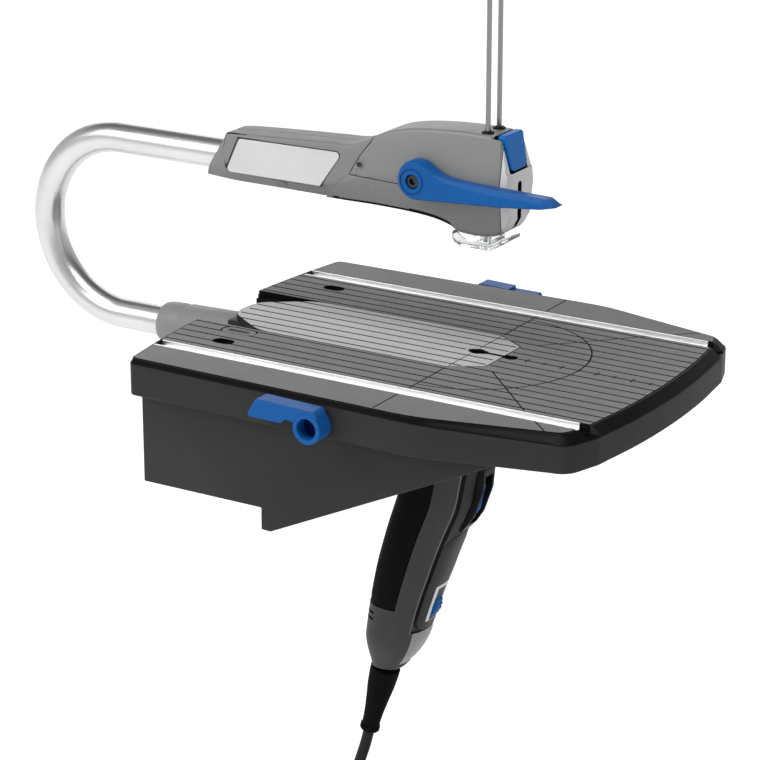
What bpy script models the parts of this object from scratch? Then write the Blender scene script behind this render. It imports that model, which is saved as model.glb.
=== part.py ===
"""Bench scroll saw: a saw unit with a tube frame, sitting in a grooved table with a bench-edge base.

Lengths below are millimetres in the saw frame: the blade line is X = 0, Y = 0 and the table top is
Z = 0, with +X towards the user's work and the tube's bend at -X. SAW_ORIGIN moves that frame so
that the world origin is the middle of the flat seat that rests on a bench top.
"""
import math
import bmesh
import bpy
from mathutils import Vector

MM = 0.001
GAP = 0.3                       # clearance between pieces that touch
SIDES = (("near", -1.0), ("far", 1.0))

# Driving dimensions
SEAT_MIDDLE_X = -103.5          # middle of the bench seat, from the blade
SEAT_Z = -67.0                  # bench seat, below the table top
TABLE_HALF_WIDTH = 95.5
TABLE_BACK_X = -147.0
TABLE_FRONT_X = 102.0
DECK_THICK = 6.0
RIM_Z = -18.3                   # lower edge of the rim
RAIL_Y = 69.5                   # centre of each rail
RAIL_WIDTH = 8.4
SHOE_HALF_WIDTH = 28.0
SHOE_THICK = 3.0
CHEEK_Y = 90.0                  # outer face of each cheek
TUBE_R = 8.0
BEND_X = -213.7                 # centre of the tube's bend
BEND_Z = 32.1
BEND_R = 48.3
ARM_Z = BEND_Z + BEND_R         # axis of the upper arm
LOWER_Z = BEND_Z - BEND_R       # axis of the lower arm
ROD_X = 8.7                     # hold-down rods
ROD_Y = 5.5
ROD_R = 1.25
LEVER_X, LEVER_Z = -23.3, 88.3  # tension lever's axis
LOCK_X, LOCK_Z = -27.5, -11.5   # locking levers' axis
MOTOR_TOP = Vector((-18.7, 0.0, -76.0))
MOTOR_TILT = math.radians(17.1)
GEAR_X, GEAR_Z = -6.1, -35.0    # drive gear's axis
DIAL_X, DIAL_Z = -29.2, -139.5
CORD_R = 3.0
COIL_R = 33.0                   # middle of the coil's turns: 11 cord diameters across
COIL_TURNS_ACROSS = 3

SLATE = ("slate_plastic", (0.145, 0.147, 0.15), 0.55, 0.0)
BLACK = ("black_plastic", (0.018, 0.018, 0.019), 0.45, 0.0)
DARK = ("dark_plastic", (0.035, 0.035, 0.037), 0.5, 0.0)
DECK = ("deck_grey", (0.14, 0.14, 0.14), 0.5, 0.0)
SILVER = ("light_plastic", (0.42, 0.42, 0.43), 0.45, 0.0)
BLUE = ("blue_plastic", (0.012, 0.1, 0.42), 0.35, 0.0)
RUBBER = ("grip_rubber", (0.008, 0.008, 0.008), 0.75, 0.0)
ALUMINIUM = ("aluminium", (0.75, 0.75, 0.76), 0.32, 1.0)
STEEL = ("steel", (0.55, 0.55, 0.56), 0.3, 1.0)
CLEAR = ("clear_plastic", (0.85, 0.87, 0.88), 0.1, 0.0)
BRASS = ("brass", (0.7, 0.52, 0.22), 0.3, 1.0)


def clear_scene():
    for old in list(bpy.data.objects):
        bpy.data.objects.remove(old, do_unlink=True)


def material(spec):
    name, colour, roughness, metallic = spec
    found = bpy.data.materials.get(name)
    if found:
        return found
    made = bpy.data.materials.new(name)
    made.use_nodes = True
    shader = made.node_tree.nodes["Principled BSDF"]
    shader.inputs["Base Color"].default_value = (*colour, 1.0)
    shader.inputs["Roughness"].default_value = roughness
    shader.inputs["Metallic"].default_value = metallic
    return made


clear_scene()
SAW_ORIGIN = bpy.data.objects.new("saw_origin", None)
SAW_ORIGIN.location = (-SEAT_MIDDLE_X * MM, 0.0, -SEAT_Z * MM)
bpy.context.collection.objects.link(SAW_ORIGIN)


# ---- building blocks -------------------------------------------------------------------------

def add_object(name, mesh, spec, pivot=(0, 0, 0), smooth=None):
    """Link a mesh whose points are in the saw frame, with the object's origin at pivot."""
    for vertex in mesh.vertices:
        vertex.co = (vertex.co - Vector(pivot)) * MM
    obj = bpy.data.objects.new(name, mesh)
    obj.location = Vector(pivot) * MM
    obj.parent = SAW_ORIGIN
    mesh.materials.append(material(spec))
    if smooth is not None:
        mesh.shade_smooth()
        mesh.set_sharp_from_angle(angle=math.radians(smooth))
    bpy.context.collection.objects.link(obj)
    return obj


def mesh_from(name, build):
    """Run build on an empty bmesh and return the mesh, with its faces pointing out."""
    bm = bmesh.new()
    build(bm)
    bmesh.ops.recalc_face_normals(bm, faces=bm.faces)
    mesh = bpy.data.meshes.new(name)
    bm.to_mesh(mesh)
    bm.free()
    return mesh


def skin_rings(bm, rings, closed=False):
    """Bridge rings of equal point counts; the ends are capped unless the rings close on themselves."""
    loops = [[bm.verts.new(point) for point in ring] for ring in rings]
    pairs = list(zip(loops, loops[1:]))
    if closed:
        pairs.append((loops[-1], loops[0]))
    for one, two in pairs:
        for i in range(len(one)):
            j = (i + 1) % len(one)
            bm.faces.new((one[i], one[j], two[j], two[i]))
    if not closed:
        bm.faces.new(loops[0])
        bm.faces.new(list(reversed(loops[-1])))


def loft(name, rings, spec, closed=False, pivot=(0, 0, 0), smooth=40):
    mesh = mesh_from(name, lambda bm: skin_rings(bm, rings, closed))
    return add_object(name, mesh, spec, pivot, smooth)


def box(name, low, high, spec, pivot=(0, 0, 0), bevel=0.0):
    xs, ys, zs = zip(low, high)
    corners = [(0, 0), (1, 0), (1, 1), (0, 1)]
    rings = [[(xs[i], ys[j], z) for i, j in corners] for z in zs]
    made = loft(name, rings, spec, pivot=pivot, smooth=None)
    if bevel:
        add_bevel(made, bevel)
    return made


def add_bevel(obj, width, segments=1):
    mod = obj.modifiers.new("edge", "BEVEL")
    mod.width = width * MM
    mod.segments = segments
    mod.limit_method = "ANGLE"
    mod.angle_limit = math.radians(50)


def prism(name, outline, axis, low, high, spec, pivot=(0, 0, 0), smooth=35):
    """Extrude a 2D outline along axis 'x', 'y' or 'z' between low and high."""
    place = {"x": lambda a, b, t: (t, a, b), "y": lambda a, b, t: (a, t, b), "z": lambda a, b, t: (a, b, t)}[axis]
    rings = [[place(a, b, t) for a, b in outline] for t in (low, high)]
    return loft(name, rings, spec, pivot=pivot, smooth=smooth)


def circle(centre, radius, count=24, start=0.0):
    return [(centre[0] + radius * math.cos(start + math.tau * i / count),
             centre[1] + radius * math.sin(start + math.tau * i / count)) for i in range(count)]


def round_corners(points, steps=3):
    """Outline from (a, b, radius) corners, each corner an arc of the given radius."""
    outline = []
    count = len(points)
    for i, (a, b, radius) in enumerate(points):
        here = Vector((a, b))
        if radius <= 0:
            outline.append((a, b))
            continue
        before = (Vector(points[i - 1][:2]) - here).normalized()
        after = (Vector(points[(i + 1) % count][:2]) - here).normalized()
        half = math.acos(max(-1.0, min(1.0, before.dot(after)))) / 2
        reach = radius / math.tan(half)
        centre = here + (before + after).normalized() * (radius / math.sin(half))
        start = here + before * reach - centre
        end = here + after * reach - centre
        turn = start.angle_signed(end)
        for k in range(steps + 1):
            angle = -turn * k / steps
            outline.append((centre.x + start.x * math.cos(angle) - start.y * math.sin(angle),
                            centre.y + start.x * math.sin(angle) + start.y * math.cos(angle)))
    return outline


def stack(axis, rings):
    """Rings of a round piece: (position along axis, centre a, centre b, radius, count)."""
    place = {"x": lambda a, b, t: (t, a, b), "y": lambda a, b, t: (a, t, b), "z": lambda a, b, t: (a, b, t)}[axis]
    return [[place(a, b, t) for a, b in circle((ca, cb), radius, count)] for t, ca, cb, radius, count in rings]


def rod(name, axis, centre, radius, low, high, spec, count=16, pivot=(0, 0, 0)):
    a, b = centre
    return loft(name, stack(axis, [(low, a, b, radius, count), (high, a, b, radius, count)]), spec, pivot=pivot)


def aimed_rings(start, direction, profile, count=16):
    """Rings round a straight axis from start: profile is (distance, radius) pairs."""
    along = direction.normalized()
    side = Vector((0, 1, 0)) if abs(along.y) < 0.9 else Vector((1, 0, 0))
    first = along.cross(side).normalized()
    second = along.cross(first)
    return [[start + along * d + (first * math.cos(t) + second * math.sin(t)) * r
             for t in (math.tau * i / count for i in range(count))] for d, r in profile]


def boolean(obj, tool, operation="DIFFERENCE"):
    mod = obj.modifiers.new(operation.lower(), "BOOLEAN")
    mod.operation = operation
    mod.solver = "EXACT"
    mod.object = tool
    tool.hide_render = True
    tool.display_type = "WIRE"
    return obj


def cutter(name, *args, maker=box, **options):
    made = maker("cut_" + name, *args, BLACK, **options)
    made.hide_render = True
    made.display_type = "WIRE"
    return made


def screw(name, axis, centre, face, outward, head_r, head_h, spec=STEEL, length=6.0):
    """Socket screw: its head stands on the face, its shank goes inwards."""
    a, b = centre
    d = outward
    rings = stack(axis, [(face - d * length, a, b, head_r * 0.5, 12), (face, a, b, head_r * 0.5, 12),
                         (face + d * 0.01, a, b, head_r, 12), (face + d * head_h, a, b, head_r, 12),
                         (face + d * head_h, a, b, head_r * 0.5, 12),
                         (face + d * head_h * 0.4, a, b, head_r * 0.5, 12)])
    return loft(name, rings, spec, smooth=30)


def turned(name, axis, centre, profile, spec, count=24, pivot=(0, 0, 0)):
    """Turn a closed (position, radius) profile round an axis: a ring with a bore through it."""
    place = {"x": lambda a, b, t: (t, a, b), "y": lambda a, b, t: (a, t, b), "z": lambda a, b, t: (a, b, t)}[axis]
    rings = []
    for i in range(count):
        angle = math.tau * i / count
        rings.append([place(centre[0] + r * math.cos(angle), centre[1] + r * math.sin(angle), t)
                      for t, r in profile])
    return loft(name, rings, spec, closed=True, pivot=pivot)


def path_frames(path):
    """Tangent and two cross directions at each point of a path."""
    frames = []
    side = Vector((0, 1, 0))
    for i, point in enumerate(path):
        ahead = path[min(i + 1, len(path) - 1)] - path[max(i - 1, 0)]
        ahead.normalize()
        first = (side - ahead * side.dot(ahead)).normalized()
        frames.append((point, first, ahead.cross(first)))
        side = first
    return frames


def wire(name, path, radius, spec, count=10, pivot=(0, 0, 0)):
    rings = [[p + (a * math.cos(t) + b * math.sin(t)) * radius
              for t in (math.tau * i / count for i in range(count))] for p, a, b in path_frames(path)]
    return loft(name, rings, spec, pivot=pivot, smooth=60)


def pipe(name, path, outer, inner, spec, count=14):
    """Hollow tube along a path, open at both ends."""
    def build(bm):
        walls = []
        for radius in (outer, inner):
            walls.append([[bm.verts.new(p + (a * math.cos(t) + b * math.sin(t)) * radius)
                           for t in (math.tau * i / count for i in range(count))]
                          for p, a, b in path_frames(path)])
        for wall in walls:
            for one, two in zip(wall, wall[1:]):
                for i in range(count):
                    j = (i + 1) % count
                    bm.faces.new((one[i], one[j], two[j], two[i]))
        for end in (0, -1):
            for i in range(count):
                j = (i + 1) % count
                bm.faces.new((walls[0][end][i], walls[0][end][j], walls[1][end][j], walls[1][end][i]))
    return add_object(name, mesh_from(name, build), spec, smooth=60)


# ---- table -----------------------------------------------------------------------------------

def back_edge(y):
    return TABLE_BACK_X + 8.0 * (y / TABLE_HALF_WIDTH) ** 2


def front_edge(y):
    return TABLE_FRONT_X - 4.2 * (y / 60.0) ** 2


NOTCH_Y = SHOE_HALF_WIDTH + GAP
CORNER_X = back_edge(TABLE_HALF_WIDTH)


def half_table(notch):
    """Far half of the table's edge, from the notch round to the front middle."""
    corners = [(back_edge(y), y, 0) for y in (notch, 52.0, 76.0)]
    corners += [(CORNER_X, TABLE_HALF_WIDTH, 2.5), (21.0, 98.4, 90.0), (92.0, 81.6, 6.0),
                (front_edge(66.0), 66.0, 10.0)]
    corners += [(front_edge(y), y, 0) for y in (40.0, 20.0)]
    return round_corners([(0.0, 0.0, 0)] + corners + [(TABLE_FRONT_X, 0.0, 0)])[1:]


def table_path():
    """Table edge as an open path: far side of the notch, round the front, near side of the notch."""
    half = half_table(NOTCH_Y)
    return half + [(x, -y) for x, y in reversed(half[:-1])]


def outward(path, index):
    here = Vector(path[index])
    before = Vector(path[max(index - 1, 0)])
    after = Vector(path[min(index + 1, len(path) - 1)])
    run = (after - before).normalized()
    normal = Vector((run.y, -run.x))
    if index in (0, len(path) - 1):
        normal = Vector((-1.0, 0.0))
    return here, -normal if normal.dot(here) < 0 else normal


def rim_growth(normal):
    """Reach of the rim's outer face: small at the back, wider at the sides and widest in front."""
    if normal.x < 0:
        return 1.3 + 2.7 * (1.0 + normal.x)
    return 4.0 + 2.2 * normal.x ** 0.5


def ridge_z(x):
    return -1.8 - 2.6 * min(1.0, max(0.0, (x - 20.0) / 75.0))


def rim_frame():
    path = table_path()
    profile = [(GAP, -GAP, False), (0.9, -GAP, False), (None, None, True), (None, RIM_Z, True),
               (-1.2, RIM_Z, False), (-1.2, -DECK_THICK - GAP, False), (GAP, -DECK_THICK - GAP, False)]
    rings = []
    for i in range(len(path)):
        here, normal = outward(path, i)
        ring = []
        for out, z, swells in profile:
            spot = here + normal * (rim_growth(normal) if swells else out)
            ring.append((spot.x, spot.y, ridge_z(here.x) if z is None else z))
        rings.append(ring)
    return loft("rim_frame", rings, BLACK, smooth=30)


def shoe_outline(grow, back):
    """Shoe's outline: round at the back, chamfered at the front; grow widens it."""
    half = SHOE_HALF_WIDTH + grow
    return round_corners([(16.2 + grow, -17.0 - grow, 2.0), (16.2 + grow, 17.0 + grow, 2.0),
                          (-1.2, half, 4.0), (back + 26.0, half, 24.0), (back, 10.0, 12.0),
                          (back, -10.0, 12.0), (back + 26.0, -half, 24.0), (-1.2, -half, 4.0)])


def deck_plate():
    deck = prism("deck_plate", table_path(), "z", -DECK_THICK, 0.0, DECK, smooth=None)
    half = SHOE_HALF_WIDTH + GAP
    front = 16.2 + GAP
    seat = [(-200, -half), (-1.2, -half), (front, -17.0 - GAP), (front, 17.0 + GAP), (-1.2, half), (-200, half)]
    boolean(deck, cutter("shoe_seat", seat, "z", -SHOE_THICK - GAP, 5, maker=prism))
    well = [(-200, -24.6), (-1.2, -24.6), (10, -20.5), (21, -13), (21, 13), (10, 20.5), (-1.2, 24.6), (-200, 24.6)]
    boolean(deck, cutter("housing_well", well, "z", -20, -SHOE_THICK - 0.1, maker=prism))
    wide = RAIL_WIDTH / 2 + GAP
    for side, sign in SIDES:
        y = sign * RAIL_Y
        boolean(deck, cutter("rail_slot_" + side, (-160, y - wide, -4.3), (120, y + wide, 5)))
        hole = round_corners([(-121, sign * 52 - 3.6, 3.5), (-109, sign * 52 - 3.6, 3.5),
                              (-109, sign * 52 + 3.6, 3.5), (-121, sign * 52 + 3.6, 3.5)])
        boolean(deck, cutter("mount_hole_" + side, hole, "z", -20, 5, maker=prism))
    slot = round_corners([(14.3, -2.5, 2.4), (23.7, -2.5, 2.4), (23.7, 2.5, 2.4), (14.3, 2.5, 2.4)])
    boolean(deck, cutter("blade_slot", slot, "z", -20, 5, maker=prism))
    tab = round_corners([(-127.5, -39.5, 4.5), (-107, -39.5, 4.5), (-107, -29.8, 4.5), (-127.5, -29.8, 4.5)])
    boolean(deck, cutter("tab_pocket", tab, "z", -3.0, 5, maker=prism))
    return deck


def latch_tab():
    outline = round_corners([(-127, -39, 4.2), (-107.5, -39, 4.2), (-107.5, -30.3, 4.2), (-127, -30.3, 4.2)])
    return prism("latch_tab", outline, "z", -2.7, 0.0, DECK, smooth=None)


def rails():
    half = RAIL_WIDTH / 2
    wall, floor, depth = 1.0, -2.8, -4.0
    for side, sign in SIDES:
        y = sign * RAIL_Y
        outline = [(y - half, 0), (y - half, depth), (y + half, depth), (y + half, 0),
                   (y + half - wall, 0), (y + half - wall, floor), (y - half + wall, floor), (y - half + wall, 0)]
        prism("rail_" + side, outline, "x", back_edge(RAIL_Y) + 0.5, 92.3, ALUMINIUM, smooth=None)


def cheeks():
    top = -DECK_THICK - GAP
    outline = [(-138.6, top), (-138.6, SEAT_Z), (-68.6, SEAT_Z), (-68.6, -78.4), (-63.3, -78.6),
               (57.0, -21.6), (57.0, RIM_Z - 0.4), (49.0, RIM_Z - 0.4), (49.0, top)]
    for side, sign in SIDES:
        faces = sorted((sign * CHEEK_Y, sign * (CHEEK_Y - 3.5)))
        prism("cheek_" + side, outline, "y", faces[0], faces[1], BLACK, smooth=None)


def bench_seat():
    outline = [(-138.4, SEAT_Z), (-68.6, SEAT_Z), (-68.6, -78.4), (-63.6, -78.4), (-63.6, -63.0),
               (-134.9, -63.0), (-134.9, -36.0), (-138.4, -36.0)]
    half = CHEEK_Y - 3.5 - GAP
    return prism("bench_seat", outline, "y", -half, half, BLACK, smooth=None)


def lock_levers():
    """Side levers that lock the saw unit in the table, each on a spigot through the rim."""
    for side, sign in SIDES:
        pivot = (LOCK_X, sign * 101.9, LOCK_Z)
        hub = [(sign * y, r) for y, r in ((102.1, 5.3), (102.1, 7.5), (112.5, 7.5), (112.5, 5.3))]
        lever = turned("lock_lever_" + side, "y", (LOCK_X, LOCK_Z), hub, BLUE, pivot=pivot)
        arm = round_corners([(LOCK_X + 4.6, LOCK_Z + 9.2, 3), (LOCK_X - 28.5, LOCK_Z + 10.2, 2),
                             (LOCK_X - 34, LOCK_Z + 0.6, 1.2), (LOCK_X - 14.5, LOCK_Z + 0.4, 1.5),
                             (LOCK_X - 12.0, LOCK_Z + 3.0, 1.5), (LOCK_X - 7.4, LOCK_Z + 2.0, 0),
                             (LOCK_X - 5.2, LOCK_Z + 3.4, 0), (LOCK_X, LOCK_Z + 6.2, 0),
                             (LOCK_X + 6.2, LOCK_Z + 3.6, 0)])
        lows = sorted((sign * 103.0, sign * 112.0))
        tool = cutter("lock_arm_" + side, arm, "y", lows[0], lows[1], maker=prism)
        boolean(lever, tool, "UNION")
        ends = sorted((sign * 102.0, sign * 104.4))
        rod("lock_spigot_" + side, "y", (LOCK_X, LOCK_Z), 4.9, ends[0], ends[1], DARK, count=24)


# ---- saw unit: shoe, frame and housing ---------------------------------------------------------

SHOE_BACK = -137.0


def shoe_plate():
    shoe = prism("shoe_plate", shoe_outline(0.0, SHOE_BACK), "z", -SHOE_THICK, 0.0, SILVER, smooth=None)
    eye = round_corners([(-3.5, -2.3, 2.2), (7.0, -2.3, 2.2), (7.0, 2.3, 2.2), (-3.5, 2.3, 2.2)])
    boolean(shoe, cutter("blade_eye", eye, "z", -20, 5, maker=prism))
    return boolean(shoe, cutter("blade_entry", (5, -0.9, -20), (30, 0.9, 5)))


def frame_tube():
    path = [Vector((-92.0, 0, LOWER_Z)), Vector((-150.0, 0, LOWER_Z))]
    for i in range(25):
        angle = -math.pi / 2 - math.pi * i / 24
        path.append(Vector((BEND_X + BEND_R * math.cos(angle), 0, BEND_Z + BEND_R * math.sin(angle))))
    path += [Vector((-150.0, 0, ARM_Z)), Vector((-122.0, 0, ARM_Z))]
    return pipe("frame_tube", path, TUBE_R, TUBE_R - 2.0, ALUMINIUM)


def tube_collar():
    bore = TUBE_R + GAP
    profile = [(-187.0, bore), (-187.0, 10.6), (-184.0, 11.2), (-139.5, 12.6), (-139.5, bore)]
    return turned("tube_collar", "x", (0.0, LOWER_Z), profile, SILVER, count=20)


def frame_casting():
    casting = box("frame_casting", (-139.0, -13.5, -29.5), (-42.0, 13.5, -SHOE_THICK - GAP), DARK)
    return boolean(casting, cutter("tube_bore", "x", (0.0, LOWER_Z), TUBE_R + GAP, -150, -91.5, maker=rod))


# Handle and gear housing: horizontal slices (z, middle x, half length, half width)
HANDLE = [(-3.4, -10.0, 30.0, 23.0), (-30.0, -10.5, 29.5, 23.0), (-50.0, -13.6, 23.9, 20.6),
          (-65.0, -15.5, 21.3, 19.8), (-80.6, -18.9, 21.6, 19.8), (-95.5, -24.6, 20.8, 19.4),
          (-110.3, -29.8, 20.0, 19.0), (-122.1, -33.5, 19.4, 18.6), (-131.1, -36.2, 18.6, 18.2),
          (-143.1, -39.4, 17.7, 17.8), (-155.0, -42.1, 16.8, 17.2), (-163.0, -44.0, 15.9, 16.4),
          (-170.0, -45.6, 13.8, 14.2), (-176.0, -47.4, 11.0, 11.2), (-181.0, -49.2, 8.6, 8.8)]
SKIN = 1.5                      # thickness of the rubber and of the front panel
SHELL = 2.4
PANEL_ANGLE = math.radians(42.5) # front panel's edge, from straight ahead
RUBBER_ANGLE = math.radians(82.5)
SKIN_TOP, RUBBER_END, PANEL_END, BUTT_END = -55.0, -142.0, -155.5, -178.0
SHELL_FLOOR = -173.0
BUTT_ANGLE = 0.66


def slice_at(z):
    for (z0, *one), (z1, *two) in zip(HANDLE, HANDLE[1:]):
        if z0 >= z >= z1:
            t = (z0 - z) / (z0 - z1)
            return [a + (b - a) * t for a, b in zip(one, two)]
    return list(HANDLE[-1][1:]) if z < HANDLE[-1][0] else list(HANDLE[0][1:])


def on_handle(z, angle, inset):
    """Point of the handle's surface at height z; angle 0 faces +X and inset goes inwards."""
    middle, long, wide = slice_at(z)
    c, s = math.cos(angle), math.sin(angle)
    reach_x = math.copysign(abs(c) ** 0.85, c) * (long - inset)
    reach_y = math.copysign(abs(s) ** 0.85, s) * (wide - inset)
    return Vector((middle + reach_x, reach_y, z))


def span(start, end, steps):
    return [start + (end - start) * i / steps for i in range(steps + 1)]


def levels(top, bottom):
    inside = [z for z, *_ in HANDLE if bottom + 1.0 < z < top - 1.0]
    return [top] + inside + [bottom]


def skin_piece(name, top, bottom, low, high, spec, outer=0.0, steps=8):
    """Curved panel that lies on the shell between two angles and two heights."""
    rings = []
    for z in levels(top, bottom):
        rings.append([on_handle(z, a, -outer) for a in span(low, high, steps)]
                     + [on_handle(z, a, SKIN) for a in span(high, low, steps)])
    return loft(name, rings, spec)


def shell_ring(z, sign, front_angle, front, back, inner):
    """Section of one half shell; front and back are how far it is sunk under the parts that lie on it."""
    edge = 0.012
    back_angle = max(RUBBER_ANGLE, front_angle + 0.1)
    outline = [(a, front) for a in span(0.0, front_angle + edge, 4)]
    outline += [(a, 0.0) for a in span(front_angle + edge + 0.004, back_angle - edge - 0.004, 3)]
    outline += [(a, back) for a in span(back_angle - edge, math.pi, 6)]
    points = [on_handle(z, sign * a, inset) for a, inset in outline]
    middle, long, wide = slice_at(z)
    for a in span(math.pi, 0.0, 10):
        if inner is None:
            points.append(on_handle(z, sign * a, SKIN + GAP + SHELL))
        else:
            points.append(Vector((middle + inner * math.cos(a), sign * inner * math.sin(a), z)))
    for point in points:
        if abs(point.y) < GAP / 2:
            point.y = sign * GAP / 2
    return points


def housing_shells():
    """Two mirrored halves of the gear housing and handle, split down the middle."""
    sunk = SKIN + GAP
    panel = PANEL_ANGLE
    steps = [(z, panel, 0.0, 0.0, None) for z in levels(HANDLE[0][0], SKIN_TOP + GAP)]
    steps += [(z, panel, sunk, sunk, None) for z in levels(SKIN_TOP + GAP - 0.01, RUBBER_END - GAP)]
    steps += [(z, panel, sunk, 0.0, None) for z in (RUBBER_END - GAP - 0.01, PANEL_END)]
    steps += [(z, BUTT_ANGLE, sunk, 0.0, None) for z in (PANEL_END - 0.01, -163.0, -170.0)]
    steps += [(z, BUTT_ANGLE, sunk, 0.0, 4.2) for z in (SHELL_FLOOR, -176.0, BUTT_END - GAP)]
    steps += [(z, BUTT_ANGLE, 0.0, 0.0, 4.2) for z in (BUTT_END - GAP - 0.01, HANDLE[-1][0])]
    for side, sign in SIDES:
        rings = [shell_ring(z, sign, *rest) for z, *rest in steps]
        shell = loft("housing_" + side, rings, SLATE, smooth=30)
        boolean(shell, cutter("dial_window_" + side, (-28.4, -4.6, -152), (0, 4.6, -127)))
        boolean(shell, cutter("slider_window_" + side, (-12, -4.6, -94), (30, 4.6, -62)))


def handle_skins():
    skin_piece("grip_rubber", SKIN_TOP, RUBBER_END, RUBBER_ANGLE, math.tau - RUBBER_ANGLE, RUBBER, steps=16)
    panel = skin_piece("front_panel", -97.0 - GAP, PANEL_END, -PANEL_ANGLE, PANEL_ANGLE, DARK)
    boolean(panel, cutter("dial_frame", (-30, -8.2, -152.3), (10, 8.2, -126.7)))
    bezel = skin_piece("dial_bezel", -127.0, -152.0, -0.36, 0.36, SILVER, outer=0.3, steps=6)
    boolean(bezel, cutter("dial_gap", (-40, -3.9, -149.5), (10, 3.9, -129.5)))
    hood = skin_piece("switch_hood", SKIN_TOP, -97.0, -PANEL_ANGLE, PANEL_ANGLE, BLACK)
    bump = [(7.0, -57.0), (8.6, -57.0), (9.4, -60.5), (8.4, -71.8), (3.4, -86.0), (-0.6, -92.0), (-4.0, -96.0),
            (-4.9, -96.0), (-2.6, -90.5), (0.8, -83.0), (3.9, -69.0), (6.2, -60.0)]
    swell = cutter("hood_bump", bump, "y", -5.6, 5.6, maker=prism)
    boolean(hood, swell, "UNION")
    boolean(hood, cutter("slider_slot", (-30, -3.9, -92), (30, 3.9, -64)))
    skin_piece("butt_cap", PANEL_END - GAP, BUTT_END, -BUTT_ANGLE, BUTT_ANGLE, SILVER)


def dial_and_slider():
    pivot = (DIAL_X, 0.0, DIAL_Z)
    dial = loft("speed_dial", stack("y", [(-3.2, DIAL_X, DIAL_Z, 9.4, 28), (3.2, DIAL_X, DIAL_Z, 9.4, 28)]),
                BLUE, pivot=pivot)
    add_bevel(dial, 0.6)
    outline = [(-4.9, -71.0), (5.8, -70.0), (2.8, -84.0), (0.2, -88.0), (-6.6, -88.0)]
    prism("power_slider", outline, "y", -3.4, 3.4, BLUE, smooth=None)


def strain_relief():
    start = Vector((-51.4, 0, -183.4))
    down = Vector((-10.5, 0, -39.9))
    length = 40.0
    profile = [(-6.0, 2.0), (0.0, 2.0), (0.01, 7.9), (12.0, 7.2), (27.0, 5.3), (length - 3.0, 4.7),
               (length - 2.99, 5.3), (length, 5.3)]
    loft("strain_relief", aimed_rings(start, down, profile, 16), RUBBER, smooth=30)
    return start + down.normalized() * length, down.normalized()


def motor_parts():
    down = Vector((-math.sin(MOTOR_TILT), 0, -math.cos(MOTOR_TILT)))
    can = [(0.0, 5.0), (2.0, 5.0), (2.01, 12.4), (45.0, 12.4), (45.01, 6.0), (48.0, 6.0)]
    loft("motor_can", aimed_rings(MOTOR_TOP, down, can, 20), STEEL, smooth=30)
    rotor = [(0.3, 2.0), (27.0, 2.0), (27.01, 3.2), (34.9, 3.2)]
    loft("motor_pinion", aimed_rings(MOTOR_TOP, -down, rotor, 14), STEEL, pivot=MOTOR_TOP, smooth=30)
    box("switch_body", (-11.5, -6.0, -73.0), (-5.3, 6.0, -61.5), DARK)
    box("speed_module", (-46.5, -9.0, -158.0), (-40.0, 9.0, -134.0), DARK)


def drive_gear():
    pivot = (GEAR_X, 0.0, GEAR_Z)
    teeth = 20
    outline = []
    for i in range(teeth * 2):
        radius = 10.0 if i % 2 else 9.2
        outline += [(GEAR_X + radius * math.cos(math.pi * (i + k) / teeth),
                     GEAR_Z + radius * math.sin(math.pi * (i + k) / teeth)) for k in (-0.2, 0.2)]
    gear = prism("drive_gear", outline, "y", -6.6, -3.6, STEEL, pivot=pivot, smooth=None)
    boolean(gear, cutter("gear_shaft", "y", (GEAR_X, GEAR_Z), 2.0, -4.5, 15.5, maker=rod), "UNION")
    boolean(gear, cutter("crank_pin", "y", (GEAR_X + 4.0, GEAR_Z), 1.7, -11.0, -6.0, maker=rod), "UNION")
    ring = [(10.5, 2.1), (10.5, 5.0), (16.5, 5.0), (16.5, 2.1)]
    turned("gear_bearing", "y", (GEAR_X, GEAR_Z), ring, BRASS, count=16)


def lower_drive():
    """Yoke that the crank pin moves, with the lower blade clamp at its foot."""
    plate = box("drive_yoke", (GEAR_X - 8.4, -10.7, GEAR_Z - 12.0), (GEAR_X + 8.0, -7.3, GEAR_Z + 13.0), STEEL)
    boolean(plate, cutter("yoke_window", (GEAR_X - 5.9, -20, GEAR_Z - 9.9), (GEAR_X + 5.9, 0, GEAR_Z + 9.9)))
    boolean(plate, cutter("yoke_stem", "z", (-4.0, -9.05), 2.2, -24.0, -8.5, maker=rod), "UNION")
    boolean(plate, cutter("clamp_foot", (-4.6, -8.0, -53.3), (1.0, 3.0, -49.0)), "UNION")
    boolean(plate, cutter("clamp_link", (-4.6, -10.7, -50.5), (0.5, -7.3, -46.0)), "UNION")
    boolean(plate, cutter("clamp_slot", (-1.6, -0.35, -60.0), (8.0, 0.35, -40.0)))
    screw("lower_clamp_screw", "y", (-1.2, -51.2), 3.0 + GAP, 1.0, 1.8, 2.0, BLACK, length=0.2)
    block = box("drive_guide", (-9.5, -13.6, -17.5), (1.5, -4.5, -10.5), BRASS)
    boolean(block, cutter("guide_bore", "z", (-4.0, -9.05), 2.3, -30, 0, maker=rod))


# ---- arm and head ------------------------------------------------------------------------------

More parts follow.
